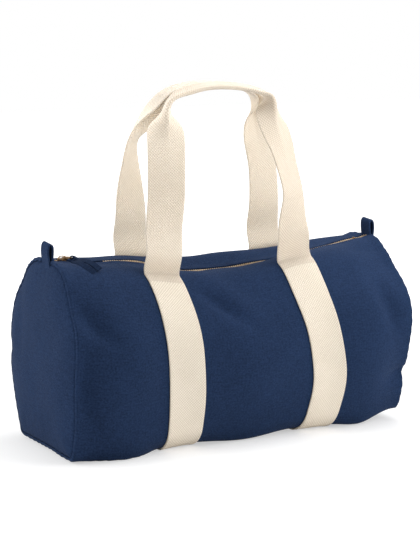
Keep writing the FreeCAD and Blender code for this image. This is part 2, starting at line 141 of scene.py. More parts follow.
# How the stuffed barrel gives: each row is a side, x, z, two half sizes, a slant in degrees and a depth,
# where a depth below nought swells outwards
HOLLOWS = (
    ("front", -0.210, 0.165, 0.042, 0.014, -54, 0.0062),
    ("front", -0.200, 0.141, 0.038, 0.010, -35, -0.0024),
    ("front", -0.222, 0.090, 0.040, 0.013, -84, 0.0085),
    ("front", -0.190, 0.092, 0.042, 0.020, -82, -0.0040),
    ("front", -0.034, 0.188, 0.036, 0.009, -43, 0.0040),
    ("front", -0.016, 0.201, 0.036, 0.012, -43, -0.0030),
    ("front", 0.150, 0.203, 0.030, 0.010, -140, 0.0030),
    ("front", 0.197, 0.157, 0.036, 0.013, -74, 0.0052),
    ("front", 0.226, 0.062, 0.024, 0.012, 0, 0.0080),
    ("front", 0.232, 0.060, 0.040, 0.060, 0, 0.0080),
    ("front", 0.232, 0.218, 0.060, 0.030, 0, 0.0150),
    ("front", 0.234, 0.150, 0.032, 0.034, 0, -0.0050),
    ("front", -0.168, 0.014, 0.050, 0.036, 0, -0.0100),
    ("front", 0.020, 0.085, 0.060, 0.050, 0, -0.0020),
    ("front", -0.166, 0.125, 0.038, 0.075, 0, -0.0040),
    ("front", 0.172, 0.130, 0.038, 0.075, 0, -0.0045),
    ("rear", -0.232, 0.212, 0.070, 0.028, 0, 0.0105),
    ("rear", -0.234, 0.111, 0.034, 0.012, 0, 0.0050),
    ("rear", -0.190, 0.155, 0.040, 0.013, -58, 0.0040),
    ("rear", 0.206, 0.150, 0.044, 0.014, 62, 0.0045),
    ("rear", 0.030, 0.184, 0.038, 0.009, 40, 0.0024),
    ("rear", 0.214, 0.074, 0.036, 0.016, 80, 0.0040),
    ("rear", -0.150, 0.030, 0.050, 0.034, 0, -0.0030),
    ("rear", 0.150, 0.026, 0.050, 0.034, 0, -0.0030),
)

# How far the body straps stray along the bag: the share of their run, from -1 at the front fold to 1 at
# the rear fold, and the stray of the left strap and of the right one
STRAP_STRAY = (
    (-1.00, -0.0062, -0.0108),
    (-0.89, -0.0028, -0.0080),
    (-0.80, -0.0014, -0.0052),
    (-0.70, -0.0007, 0.0008),
    (-0.61, 0.0007, 0.0060),
    (-0.52, 0.0029, 0.0115),
    (-0.44, 0.0050, 0.0150),
    (-0.35, 0.0065, 0.0125),
    (-0.25, 0.0075, 0.0100),
    (0.00, 0.0070, 0.0080),
    (1.00, 0.0070, 0.0090),
)
STRAY_COLUMNS = {"left": 1, "right": 2}

# The free parts of the webbing, from left to right: x, y, z, a turn about its run in degrees, and how far it
# is folded in half
HANDLES = {
    "front": (
        (-0.1020, -0.0595, 0.2350, 0, 0.00),
        (-0.1018, -0.0595, 0.2600, -2, 0.00),
        (-0.0985, -0.0585, 0.2980, -5, 0.00),
        (-0.0955, -0.0550, 0.3380, -6, 0.00),
        (-0.0930, -0.0500, 0.3640, -8, 0.04),
        (-0.0905, -0.0450, 0.3810, -14, 0.16),
        (-0.0880, -0.0400, 0.3955, -24, 0.50),
        (-0.0850, -0.0355, 0.4065, -28, 0.84),
        (-0.0785, -0.0310, 0.4172, -20, 0.98),
        (-0.0570, -0.0255, 0.4290, 6, 1.00),
        (-0.0330, -0.0232, 0.4345, 9, 1.00),
        (-0.0030, -0.0230, 0.4360, 10, 1.00),
        (0.0260, -0.0232, 0.4335, 12, 1.00),
        (0.0490, -0.0248, 0.4282, 12, 1.00),
        (0.0600, -0.0275, 0.4225, 9, 0.96),
        (0.0625, -0.0310, 0.4140, 2, 0.78),
        (0.0622, -0.0345, 0.4040, -6, 0.50),
        (0.0618, -0.0390, 0.3920, -14, 0.24),
        (0.0676, -0.0470, 0.3680, -22, 0.08),
        (0.0736, -0.0540, 0.3360, -30, 0.02),
        (0.0800, -0.0580, 0.3000, -28, 0.00),
        (0.0788, -0.0595, 0.2700, -15, 0.00),
        (0.0800, -0.0595, 0.2450, -4, 0.00),
    ),
    "rear": (
        (-0.0890, 0.0575, 0.2400, 4, 0.00),
        (-0.0885, 0.0575, 0.2650, 10, 0.00),
        (-0.0895, 0.0560, 0.3000, 20, 0.00),
        (-0.0920, 0.0520, 0.3380, 38, 0.02),
        (-0.0915, 0.0440, 0.3700, 48, 0.12),
        (-0.0830, 0.0370, 0.3880, 42, 0.34),
        (-0.0745, 0.0310, 0.4010, 26, 0.68),
        (-0.0672, 0.0260, 0.4130, 12, 0.94),
        (-0.0575, 0.0220, 0.4240, 7, 1.00),
        (-0.0330, 0.0202, 0.4335, 7, 1.00),
        (-0.0020, 0.0200, 0.4365, 7, 1.00),
        (0.0280, 0.0202, 0.4345, 7, 1.00),
        (0.0560, 0.0212, 0.4285, 7, 1.00),
        (0.0720, 0.0240, 0.4200, 3, 0.95),
        (0.0785, 0.0285, 0.4080, -2, 0.70),
        (0.0810, 0.0350, 0.3930, -6, 0.34),
        (0.0870, 0.0440, 0.3700, -9, 0.10),
        (0.0985, 0.0520, 0.3380, -12, 0.02),
        (0.1050, 0.0560, 0.3000, -10, 0.00),
        (0.1055, 0.0575, 0.2650, -5, 0.00),
        (0.1050, 0.0575, 0.2400, 0, 0.00),
    ),
}

# Shares of a colour's red, green and blue in some looks, and in the low parts of two finishes
TINTS = {
    "natural_webbing": (0.970, 0.945, 0.955),
    # A paler copy of the webbing for the rear handle: painted light
    "rear_webbing_painted_light": (1.060, 1.033, 1.044),
    # A paler copy of the webbing for the body straps: painted light
    "sewn_webbing_painted_light": (1.070, 1.080, 1.105),
    # A darker, browner copy of the brass for the slider, its arch, the ring and the stops: painted shade
    "slider_brass_painted_shade": (0.54, 0.44, 0.32),
    # A darker copy of the canvas for the zip pull: painted shade
    "pull_cloth": (0.66, 0.66, 0.66),
}
WEBBING_SHADE = (0.70, 0.67, 0.61)
BRASS_SHADE = (0.52, 0.44, 0.36)

# Painted light and shade over the bag, as greys that change along an axis: each stop is a place along an axis in
# metres, and a share. RAMP_SCALE fits half a metre in a ramp. The gain below is how much paler the webbing is where
# light is painted on it, up to BRIGHTEST in red
RAMP_SCALE = 2.0
# Painted shade on the left of the canvas, turning to painted light on its right: stops along X
CANVAS_PAINTED_LIGHT_AND_SHADE = ((-0.235, 0.45), (-0.205, 0.25), (-0.075, 0.45), (0.235, 0.80))
# Painted light on the webbing: in height on the left handle's legs, and on the low parts under the bag
PAINTED_LIGHT_LEGS = ((0.220, 0.0), (0.240, 1.0), (0.320, 0.2), (0.380, 1.0), (0.405, 1.0), (0.425, 0.0))
PAINTED_LIGHT_SIDE = ((-0.050, 1.0), (0.050, 0.0))
PAINTED_LIGHT_FOOT = ((0.025, 1.0), (0.100, 0.0))
PAINTED_LIGHT_GAIN = 1.2
BRIGHTEST = 0.98


def linear(red, green, blue):
    """A colour given as it shows on a screen, from 0 to 255, in the scene's linear values."""
    shares = (channel / 255 for channel in (red, green, blue))
    return tuple(s / 12.92 if s <= 0.04045 else ((s + 0.055) / 1.055) ** 2.4 for s in shares)


class BagSizes(bpy.types.PropertyGroup):
    """Sizes of the bag's cloth, webbing, stitches and zip"""

    canvas_thickness: bpy.props.FloatProperty(
        name="Canvas", description="Thickness of the canvas", default=0.0012, unit="LENGTH")
    webbing_thickness: bpy.props.FloatProperty(
        name="Webbing", description="Thickness of the webbing", default=0.0022, unit="LENGTH")
    soft_corner: bpy.props.FloatProperty(
        name="Soft corner", description="Radius of the lower edge under straps", default=0.040, unit="LENGTH")
    firm_corner: bpy.props.FloatProperty(
        name="Firm corner", description="Radius of the lower edge at the ends", default=0.010, unit="LENGTH")
    top_sag: bpy.props.FloatProperty(
        name="Top sag", description="How far the top sinks, as a share of its sag as seen", default=1.0)
    side_swell: bpy.props.FloatProperty(
        name="Side swell", description="How far the sides swell in the middle", default=0.0030, unit="LENGTH")
    end_puff: bpy.props.FloatProperty(
        name="End puff", description="How far the end panels swell", default=0.0085, unit="LENGTH")
    left_lift: bpy.props.FloatProperty(
        name="Left lift", description="Rise of the lower edge at the left", default=0.0030, unit="LENGTH")
    right_lift: bpy.props.FloatProperty(
        name="Right lift", description="Rise of the lower edge at the right", default=0.0080, unit="LENGTH")
    tooth_pitch: bpy.props.FloatProperty(
        name="Tooth pitch", description="Spacing of the zip teeth in one row", default=0.0030, unit="LENGTH")
    stitch_pitch: bpy.props.FloatProperty(
        name="Stitch pitch", description="Spacing of the stitches", default=0.0046, unit="LENGTH")


class BagColours(bpy.types.PropertyGroup):
    """Colours of the bag's finishes"""

    canvas: bpy.props.FloatVectorProperty(
        name="Canvas", description="Colour of the canvas", subtype="COLOR", default=linear(35, 52, 82))
    binding: bpy.props.FloatVectorProperty(
        name="Binding", description="Colour of the seam binding", subtype="COLOR", default=linear(20, 33, 56))
    webbing: bpy.props.FloatVectorProperty(
        name="Webbing", description="Colour of the webbing", subtype="COLOR", default=linear(234, 223, 206))
    thread: bpy.props.FloatVectorProperty(
        name="Thread", description="Colour of the stitches", subtype="COLOR", default=linear(232, 220, 202))
    tape: bpy.props.FloatVectorProperty(
        name="Zip tape", description="Colour of the zip tape", subtype="COLOR", default=linear(21, 34, 56))
    brass: bpy.props.FloatVectorProperty(
        name="Brass", description="Colour of the zip's metal", subtype="COLOR", default=linear(218, 198, 168))


def ease(low, high, value):
    """A smooth step from 0 at low to 1 at high."""
    t = np.clip((value - low) / (high - low), 0, 1)
    return t * t * (3 - 2 * t)


def hump(value, centre, half):
    """A smooth hump, 1 at centre and 0 beyond half to either side."""
    return np.cos(np.pi / 2 * np.clip((value - centre) / half, -1, 1)) ** 2


def bell(value, centre, half):
    """A bell curve, 1 at centre."""
    return np.exp(-(((value - centre) / half) ** 2))


def bays(x, rows):
    """Humps along the bag, alike at both ends: each row is a place, a half length and a share."""
    return sum(share * hump(np.abs(x), middle, half) for middle, half, share in rows)


def smooth_table(value, rows, column, reach):
    """A column of a table looked up at values of its first column, evened out over a reach."""
    at, numbers = zip(*((row[0], row[column]) for row in rows))
    return np.mean([np.interp(value + reach * k / 3, at, numbers) for k in range(-3, 4)], 0)


def paired(x, s):
    """Two arrays of one shape."""
    return np.broadcast_arrays(np.asarray(x, float), np.asarray(s, float))


def pair_grid(first, second):
    """Two grids: first changes along the rows, second along the columns."""
    return np.meshgrid(first, second, indexing="ij")


def unit(vectors):
    """Vectors brought to a length of one."""
    return vectors / np.linalg.norm(vectors, axis=-1, keepdims=True)


def lengths_along(points):
    """How far along a line of points each of them lies."""
    return np.append(0, np.cumsum(np.linalg.norm(np.diff(points, axis=0), axis=1)))


def half_section(corner):
    """One side of the barrel's section, from under its middle to the zip: even y and z, and its length."""
    low_radius = ((HALF_WIDTH - HALF_BASE) ** 2 + WIDEST**2) / (2 * (HALF_WIDTH - HALF_BASE))
    low_y = HALF_WIDTH - low_radius
    corner_y = low_y + math.sqrt((low_radius - corner) ** 2 - (WIDEST - corner) ** 2)
    shoulder_z = HEIGHT - SHOULDER
    rise = shoulder_z - WIDEST
    reach = HALF_WIDTH - HALF_FLAT
    high_radius = (rise**2 + reach**2 - SHOULDER**2) / (2 * (reach - SHOULDER))
    high_y = HALF_WIDTH - high_radius
    low_turn = math.atan2(corner - WIDEST, corner_y - low_y)
    high_turn = math.atan2(rise, HALF_FLAT - high_y)
    arcs = (
        (corner_y, corner, corner, -math.pi / 2, low_turn),
        (low_y, WIDEST, low_radius, low_turn, 0),
        (high_y, WIDEST, high_radius, 0, high_turn),
        (HALF_FLAT, shoulder_z, SHOULDER, high_turn, math.pi / 2),
    )
    points = [(0, 0)]
    for y, z, radius, start, stop in arcs:
        turns = np.linspace(start, stop, ARC_POINTS)
        points += list(zip(y + radius * np.cos(turns), z + radius * np.sin(turns)))
    points = np.array(points + [(0, HEIGHT)])
    lengths = lengths_along(points)
    even = np.linspace(0, lengths[-1], SECTION_POINTS)
    y, z = (np.interp(even, lengths, column) for column in points.T)
    return y, z + BASE_Z, lengths[-1]


class Barrel:
    """The stuffed canvas barrel as a surface over x and s.

    s runs round the section from under the middle, rising at the rear and falling below nought at the front.
    """

    # Bays along the bag where its lower edge is firm, and where its sides are full
    firm_bays = ((0.172, 0.058, 0.90), (0.0, 0.078, 0.85))
    full_bays = ((0.172, 0.062, 1.00), (0.0, 0.070, 0.60))
    # Shares of the half length from which the ends are firm, lift, peak at the top and lean back
    firm_from = 0.80
    lift_from = 0.70
    peak_from = 0.93
    lean_from = 0.62
    # Heights as shares of the barrel's: middles and reaches of bells
    swell_heights = (0.50, 0.30)
    pillow_heights = (0.46, 0.36)
    lean_heights = (0.42, 0.30)
    # Heights between which something fades in or out
    press_heights = (0.05, 0.20)
    ripple_heights = (0.10, 0.30)
    crown_heights = (0.42, 0.95)
    lift_heights = (0.00, 0.34)
    base_heights = (0.00, 0.12)
    peak_heights = (0.75, 1.00)
    # Depths and sizes
    right_firmness = 0.5
    strap_reach = 0.034
    strap_press = 0.0014
    strap_hold = 1.6
    stray_even = 0.06
    pillow = 0.0045
    ripple = 0.0007
    ripple_turns = ((61, 17, 1.3), (-23, 47, 0))
    hollow_from_zip = (0.012, 0.045)
    seam_roll = 0.0020
    seam_depth = 0.0042
    pucker = 0.00045
    pucker_pitch = 0.0125
    pucker_reach = 0.009
    pucker_drift = 2
    pucker_drift_turns = 41
    sag_even = 0.012
    sag_across = 0.030
    sag_beside_zip = 0.027
    peak = 0.003
    lean = 0.0065
    base_drop = 0.0014
    floor = 0.0008
    floor_fade = 0.012
    probe = 0.0004

    def __init__(self, sizes):
        self.sizes = sizes
        self.soft_y, self.soft_z, self.top = half_section(sizes.soft_corner)
        self.firm_y, self.firm_z, _ = half_section(sizes.firm_corner)
        self.shares = np.linspace(0, 1, len(self.soft_y))
        step_y, step_z = np.gradient(self.soft_y), np.gradient(self.soft_z)
        size = np.hypot(step_y, step_z)
        self.out_y, self.out_z = step_z / size, -step_y / size
        self.strap_fold = self.top - HALF_FLAT - STRAP_FOLD_DROP

    def column(self, values, share):
        """Values of the section, looked up at shares of its length."""
        return np.interp(share, self.shares, values)

    def surface(self, x, s):
        """Points of the canvas's outer face."""
        x, s = paired(x, s)
        share = np.abs(s) / self.top
        side = np.where(s < 0, -1.0, 1.0)
        at_end = ease(self.firm_from, 1, np.abs(x) / HALF_LENGTH) * np.where(x < 0, 1.0, self.right_firmness)
        firmness = np.clip(at_end + bays(x, self.firm_bays), 0, 1)
        y = self.column(self.soft_y, share)
        z = self.column(self.soft_z, share)
        y = (y + firmness * (self.column(self.firm_y, share) - y)) * side
        z = z + firmness * (self.column(self.firm_z, share) - z)
        height = (z - BASE_Z) / HEIGHT
        strap = bell(x, -STRAP_X, self.strap_reach) + bell(x, STRAP_X, self.strap_reach)
        swell = self.swell(x, s, height, strap) - self.hollows(x, y, z, side) - self.seam_edge(x, s)
        lean = self.lean * ease(self.lean_from, 1, -x / HALF_LENGTH) * bell(height, *self.lean_heights)
        out_y = self.column(self.out_y, share) * side
        level = z + self.column(self.out_z, share) * swell + self.rise(x, y, height, strap)
        return np.stack([x, y + out_y * swell + lean, np.maximum(level, self.floor_under(x, s))], -1)

    def swell(self, x, s, height, strap):
        """How far the stuffed sides swell, less where the straps hold them in."""
        swell = self.sizes.side_swell * hump(x, 0, HALF_LENGTH) * bell(height, *self.swell_heights)
        swell = swell - self.strap_press * strap * ease(*self.press_heights, height)
        swell = swell + self.pillow * bays(x, self.full_bays) * bell(height, *self.pillow_heights)
        ripple = self.ripple * ease(*self.ripple_heights, height)
        for along, around, start in self.ripple_turns:
            ripple = ripple * np.sin(x * along + s * around + start)
        return swell + ripple

    def hollows(self, x, y, z, side):
        """How deep the folds and dents in the sides are."""
        depths = np.zeros(x.shape)
        for where, at_x, at_z, half_u, half_v, slant, depth in HOLLOWS:
            turn = math.radians(slant)
            u = (x - at_x) * math.cos(turn) + (z - at_z) * math.sin(turn)
            v = (z - at_z) * math.cos(turn) - (x - at_x) * math.sin(turn)
            there = (side == SIDES[where]) * ease(*self.hollow_from_zip, np.abs(y))
            depths = depths + depth * bell(u, 0, half_u) * bell(v, 0, half_v) * there
        return depths

    def seam_edge(self, x, s):
        """How far the canvas rolls in at the end seams, and puckers beside them."""
        from_end = HALF_LENGTH - np.abs(x)
        roll = np.clip(1 - from_end / self.seam_roll, 0, 1)
        drift = self.pucker_drift * np.sin(s * self.pucker_drift_turns)
        pucker = np.sin(2 * np.pi * s / self.pucker_pitch + drift) * np.exp(-from_end / self.pucker_reach)
        return self.seam_depth * (1 - np.sqrt(1 - roll**2)) - self.pucker * pucker

    def rise(self, x, y, height, strap):
        """How far the ends lift, less the sag of the top and the drop of the base between the straps."""
        sizes = self.sizes
        along = np.abs(x) / HALF_LENGTH
        ahead, middle, behind = (smooth_table(x, TOP_SAG, column, self.sag_even) for column in (1, 2, 3))
        rearward = 0.5 + 0.5 * np.tanh(y / self.sag_across)
        at_zip = (middle - (ahead + behind) / 2) * bell(y, 0, self.sag_beside_zip)
        crown = ease(*self.crown_heights, height) * sizes.top_sag
        sag = crown * (ahead + (behind - ahead) * rearward + at_zip)
        end_lift = np.where(x < 0, sizes.left_lift, sizes.right_lift)
        lift = end_lift * ease(self.lift_from, 1, along) * (1 - ease(*self.lift_heights, height))
        lift = lift + self.peak * ease(self.peak_from, 1, along) * ease(*self.peak_heights, height)
        free = 1 - np.clip(strap * self.strap_hold, 0, 1)
        return lift - sag - self.base_drop * free * (1 - ease(*self.base_heights, height))

    def floor_under(self, x, s):
        """The height under which the canvas can't hang: the floor's, or the straps' under the bag."""
        floor = np.full(x.shape, self.floor)
        for which in ENDS:
            beside = np.abs(x - self.strap_x(which, s))
            over = 1 - ease(STRAP_HALF, STRAP_HALF + self.floor_fade, beside)
            floor = floor + (BASE_Z - self.floor) * over
        return floor

    def strap_x(self, which, s):
        """Where the middle of a body strap runs."""
        share = np.asarray(s) / self.strap_fold
        stray = smooth_table(share, STRAP_STRAY, STRAY_COLUMNS[which], self.stray_even)
        return ENDS[which] * STRAP_X + stray

    def outward(self, x, s):
        """The direction that faces out of the canvas."""
        step = self.probe
        x, s = paired(x, s)
        inner = np.clip(x, -HALF_LENGTH + step, HALF_LENGTH - step)
        limit = np.clip(s, -self.top + step, self.top - step)
        run_x = self.surface(inner + step, limit) - self.surface(inner - step, limit)
        run_s = self.surface(inner, limit + step) - self.surface(inner, limit - step)
        return unit(np.cross(run_s, run_x))

    def place(self, x, s, lift):
        """Points that stand off the canvas's outer face by lift."""
        return self.surface(x, s) + self.outward(x, s) * np.asarray(lift, float)[..., None]

    def sheet(self, x, s, outer, inner, uv=None, wrap=False):
        """A closed sheet over grids of x and s, between two heights over the canvas."""
        uv = np.stack([x, s], -1) if uv is None else uv
        return self.place(x, s, outer), self.place(x, s, inner), uv, wrap

    def rows(self, lines, lift):
        """Paths over the canvas for lines of x and s, with the directions that face out of it."""
        lines = [paired(x, s) for x, s in lines]
        return [(self.place(x, s, lift), self.outward(x, s)) for x, s in lines]


def barrel():
    """The barrel with the scene's sizes."""
    return Barrel(bpy.context.scene.bag_sizes)


def steps(low, high, size):
    """Even steps of about that size from low to high."""
    return np.linspace(low, high, max(2, round(abs(high - low) / size) + 1))


def graded(length, size):
    """Steps along a length that start small and grow to size."""
    *fine, last = GRADED_STEPS
    return np.append(fine, steps(last, length, size))


def spline(rows, spacing):
    """A smooth curve through rows of numbers, whose first three are a place, at even spacing along it."""
    rows = np.array(rows, float)
    at = lengths_along(rows[:, :3])
    gaps = np.diff(at)
    count = len(rows)
    system = np.eye(count)
    right = np.zeros_like(rows)
    for i in range(1, count - 1):
        system[i, i - 1:i + 2] = gaps[i - 1], 2 * (gaps[i - 1] + gaps[i]), gaps[i]
        right[i] = 6 * ((rows[i + 1] - rows[i]) / gaps[i] - (rows[i] - rows[i - 1]) / gaps[i - 1])
    bend = np.linalg.solve(system, right)
    where = steps(0, at[-1], spacing / 4)
    piece = np.clip(np.searchsorted(at, where, "right") - 1, 0, count - 2)
    gap = gaps[piece][:, None]
    t = (where - at[piece])[:, None]
    change = bend[piece + 1] - bend[piece]
    slope = (rows[piece + 1] - rows[piece]) / gap - gap * (2 * bend[piece] + bend[piece + 1]) / 6
    fine = rows[piece] + slope * t + bend[piece] * t**2 / 2 + change * t**3 / (6 * gap)
    run = lengths_along(fine[:, :3])
    even = steps(0, run[-1], spacing)
    return np.stack([np.interp(even, run, column) for column in fine.T], -1), even


def link_object(name, data):
    """A new object in the scene."""
    made = bpy.data.objects.new(name, data)
    bpy.context.scene.collection.objects.link(made)
    return made


def fill_mesh(mesh, built):
    """Puts what was built in a mesh, with its faces turned outwards."""
    bmesh.ops.recalc_face_normals(built, faces=built.faces)
    built.to_mesh(mesh)
    built.free()
    return mesh


def smooth(mesh, sharp_degrees=40):
    """Shades a mesh smooth, but for its sharp edges."""
    mesh.shade_smooth()
    mesh.set_sharp_from_angle(angle=math.radians(sharp_degrees))
    return mesh


def new_piece(name, points, faces, uv):
    """A mesh object at the origin, with its UV map in metres."""
    mesh = bpy.data.meshes.new(name)
    mesh.from_pydata([tuple(p) for p in points], [], faces)
    built = bmesh.new()
    built.from_mesh(mesh)
    fill_mesh(mesh, built)
    corners = np.empty(len(mesh.loops), np.int32)
    mesh.loops.foreach_get("vertex_index", corners)
    layer = mesh.uv_layers.new(name="Cloth")
    layer.data.foreach_set("uv", np.asarray(uv, np.float32)[corners].ravel())
    return link_object(name, smooth(mesh))


def closed_sheet(outer, inner, uv, first, wrap):
    """Points, faces and UVs of a closed piece between two grids; wrap closes it round its columns."""
    rows, columns = outer.shape[:2]
    size = rows * columns
    points = np.concatenate([outer.reshape(-1, 3), inner.reshape(-1, 3)])
    flat = np.concatenate([uv.reshape(-1, 2)] * 2)
    index = np.arange(size).reshape(rows, columns) + first
    if wrap:
        index = np.concatenate([index, index[:, :1]], 1)
    quads = np.stack([index[:-1, :-1], index[1:, :-1], index[1:, 1:], index[:-1, 1:]], -1).reshape(-1, 4)
    faces = quads.tolist() + (quads[:, ::-1] + size).tolist()
    rims = [index[0], index[-1]] if wrap else [index[0], index[-1], index[:, 0], index[:, -1]]
    for rim in rims:
        faces += [(a, b, b + size, a + size) for a, b in zip(rim[:-1].tolist(), rim[1:].tolist())]
    return points, faces, flat


def sheets_piece(name, *sheets):
    """One mesh object from closed sheets, each an outer grid, an inner grid, UVs and whether it wraps."""
    points, faces, uvs = [], [], []
    for outer, inner, uv, wrap in sheets:
        first = sum(len(p) for p in points)
        more_points, more_faces, more_uv = closed_sheet(outer, inner, uv, first, wrap)
        points.append(more_points)
        faces += more_faces
        uvs.append(more_uv)
    return new_piece(name, np.concatenate(points), faces, np.concatenate(uvs))


def grid_normals(grid):
    """The direction across a grid of points, at each point."""
    return unit(np.cross(np.gradient(grid, axis=0), np.gradient(grid, axis=1)))


def across(half, fine=False):
    """Places across a strip of that half width, close together at its rounded edges, and its thickness there.

    fine also sets them close together in the middle, for a strip that folds along it.
    """
    edge = np.array([1, 0.990, 0.972, 0.945, 0.90])
    middle = np.array([0.16, 0.13, 0.105, 0.08, 0.06, 0.04, 0.02]) if fine else np.array([])
    shares = np.concatenate([edge, np.linspace(0.8, 0.2, 7), middle])
    shares = np.concatenate([-shares, [0], shares[::-1]])
    thick = np.interp(np.abs(shares), [0, 0.945, 0.972, 0.990, 1], [1, 1, 0.90, 0.66, 0.30])
    return shares * half, thick


def strip_piece(name, middle, thickness, uv, thick):
    """A piece about a grid of points through its middle; thick is a share for each column."""
    lift = grid_normals(middle) * (thickness / 2 * np.broadcast_to(thick, middle.shape[:2]))[..., None]
    return sheets_piece(name, (middle + lift, middle - lift, uv, False))


def declare(piece, nodes=(), body=None):
    """Hides the CAD nodes that a piece stands for and hangs it on the body that carries it."""
    if nodes:
        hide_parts(*nodes)
    if body:
        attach(piece, body)


def settle(piece, slot, nodes=(), body=None, look=None):
    piece.data.materials.append(finish(look or slot))
    declare(piece, nodes, body)


def joint_place(name):
    """Where a joint's hinge lies."""
    return Vector(JOINTS[name]["pos_m"])


def fold_with_mouth(piece, where):
    """Turns cloth beside the zip with the mouth's fold, and keeps both ends of the mouth shut."""
    hinge = joint_place(f"{where}_mouth_fold")
    reach = Vector((0, -SIDES[where] * FOLD_REACH, FOLD_RISE))
    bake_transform(piece, "shell", f"{where}_mouth", start=hinge - reach, end=hinge + reach)
    values = piece.data.attributes["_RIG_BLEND"].data
    count = len(piece.data.vertices)
    weights, places = np.empty(count, np.float32), np.empty(count * 3, np.float32)
    values.foreach_get("value", weights)
    piece.data.vertices.foreach_get("co", places)
    x = places[::3]
    opened = ease(MOUTH_LEFT, MOUTH_LEFT + MOUTH_FADE, x)
    opened = opened * (1 - ease(MOUTH_RIGHT - MOUTH_FADE, MOUTH_RIGHT, x))
    values.foreach_set("value", (weights * opened).astype(np.float32))


class Value:
    """A number or colour socket of a node tree; sums on number sockets add Math nodes."""

    def __init__(self, nodes, socket):
        self.nodes = nodes
        self.socket = socket

    def math(self, operation, *others):
        return self.nodes.add("ShaderNodeMath", {"operation": operation}, dict(enumerate((self, *others))))

    def reflected(self, operation, first):
        return self.nodes.add("ShaderNodeMath", {"operation": operation}, {0: first, 1: self})

    def __add__(self, other):
        return self.math("ADD", other)

    __radd__ = __add__

    def __sub__(self, other):
        return self.math("SUBTRACT", other)

    def __rsub__(self, first):
        return self.reflected("SUBTRACT", first)

    def __mul__(self, other):
        return self.math("MULTIPLY", other)

    __rmul__ = __mul__

    def __truediv__(self, other):
        return self.math("DIVIDE", other)

    def __rtruediv__(self, first):
        return self.reflected("DIVIDE", first)

    def __abs__(self):
        return self.math("ABSOLUTE")


class Nodes:
    """Adds nodes to one tree."""

    def __init__(self, tree):
        self.tree = tree

    def add(self, kind, settings=None, sockets=None, output=0):
        """Adds a node, sets its settings and then its sockets, and returns one of its outputs."""
        node = self.tree.nodes.new(kind)
        for name, value in (settings or {}).items():
            if name == "stops":
                self.set_stops(node.color_ramp, value)
            else:
                setattr(node, name, value)
        self.fill(node, sockets or {})
        return Value(self, self.find(node.outputs, output))

    def fill(self, node, sockets):
        """Links a node's sockets to values, or sets them."""
        for key, value in sockets.items():
            socket = self.find(node.inputs, key)
            if isinstance(value, Value):
                self.tree.links.new(value.socket, socket)
            else:
                socket.default_value = value

    @staticmethod
    def find(sockets, key):
        """A socket by its place, identifier or name."""
        if isinstance(key, int):
            return sockets[key]
        return next(s for s in sockets if key in (s.identifier, s.name) and s.enabled)

    @staticmethod
    def set_stops(ramp, stops):
        """Sets a ramp's stops, each a place and a grey."""
        while len(ramp.elements) < len(stops):
            ramp.elements.new(1)
        for element, (place, grey) in zip(ramp.elements, stops):
            element.position = place
            element.color = (grey, grey, grey, 1)

    def coordinates(self, kind):
        return self.add("ShaderNodeTexCoord", {}, {}, kind)

    def part(self, vector, axis):
        """One number of a vector."""
        return self.add("ShaderNodeSeparateXYZ", {}, {0: vector}, axis)

    def mix(self, low, high, share):
        """A colour between two others."""
        return self.add("ShaderNodeMix", {"data_type": "RGBA"},
                        {"Factor_Float": share, "A_Color": low, "B_Color": high}, "Result_Color")

    def noise(self, vector, scale, detail, roughness):
        return self.add("ShaderNodeTexNoise", {}, {"Vector": vector, "Scale": scale, "Detail": detail,
                                                   "Roughness": roughness}, "Fac")

    def stretched_noise(self, vector, scales, detail, roughness):
        """Noise with a scale for each axis."""
        stretched = self.add("ShaderNodeMapping", {}, {"Vector": vector, "Scale": scales})
        return self.noise(stretched, 1.0, detail, roughness)

    def wave(self, value, pitch):
        """A sine that repeats at that pitch."""
        return (value * (2 * math.pi / pitch)).math("SINE")

    def ramp(self, value, stops):
        return self.add("ShaderNodeValToRGB", {"stops": stops}, {0: value})

    def bump(self, height, strength, distance, normal=None):
        sockets = {"Strength": strength, "Distance": distance, "Height": height}
        if normal:
            sockets["Normal"] = normal
        return self.add("ShaderNodeBump", {}, sockets)


def shade(colour, share):
    """A colour made darker or lighter by a share, as a shader takes it."""
    return (*(channel * share for channel in colour), 1)


def tinted(colour, tint):
    """What a tint leaves of a colour."""
    return tuple(channel * share for channel, share in zip(colour, tint))


def cloth_axes(nodes):
    """The cloth's own map in metres: the vector, and its two numbers."""
    vector = nodes.coordinates("UV")
    return vector, nodes.part(vector, "X"), nodes.part(vector, "Y")


def over_bag(nodes, axis, stops):
    """A grey that changes along an axis of the bag, with its stops in metres from the bag's origin."""
    place = nodes.part(nodes.coordinates("Object"), axis)
    shift = 0.5 if axis == "X" else 0.0
    return nodes.ramp(place * RAMP_SCALE + shift, [(at * RAMP_SCALE + shift, grey) for at, grey in stops])


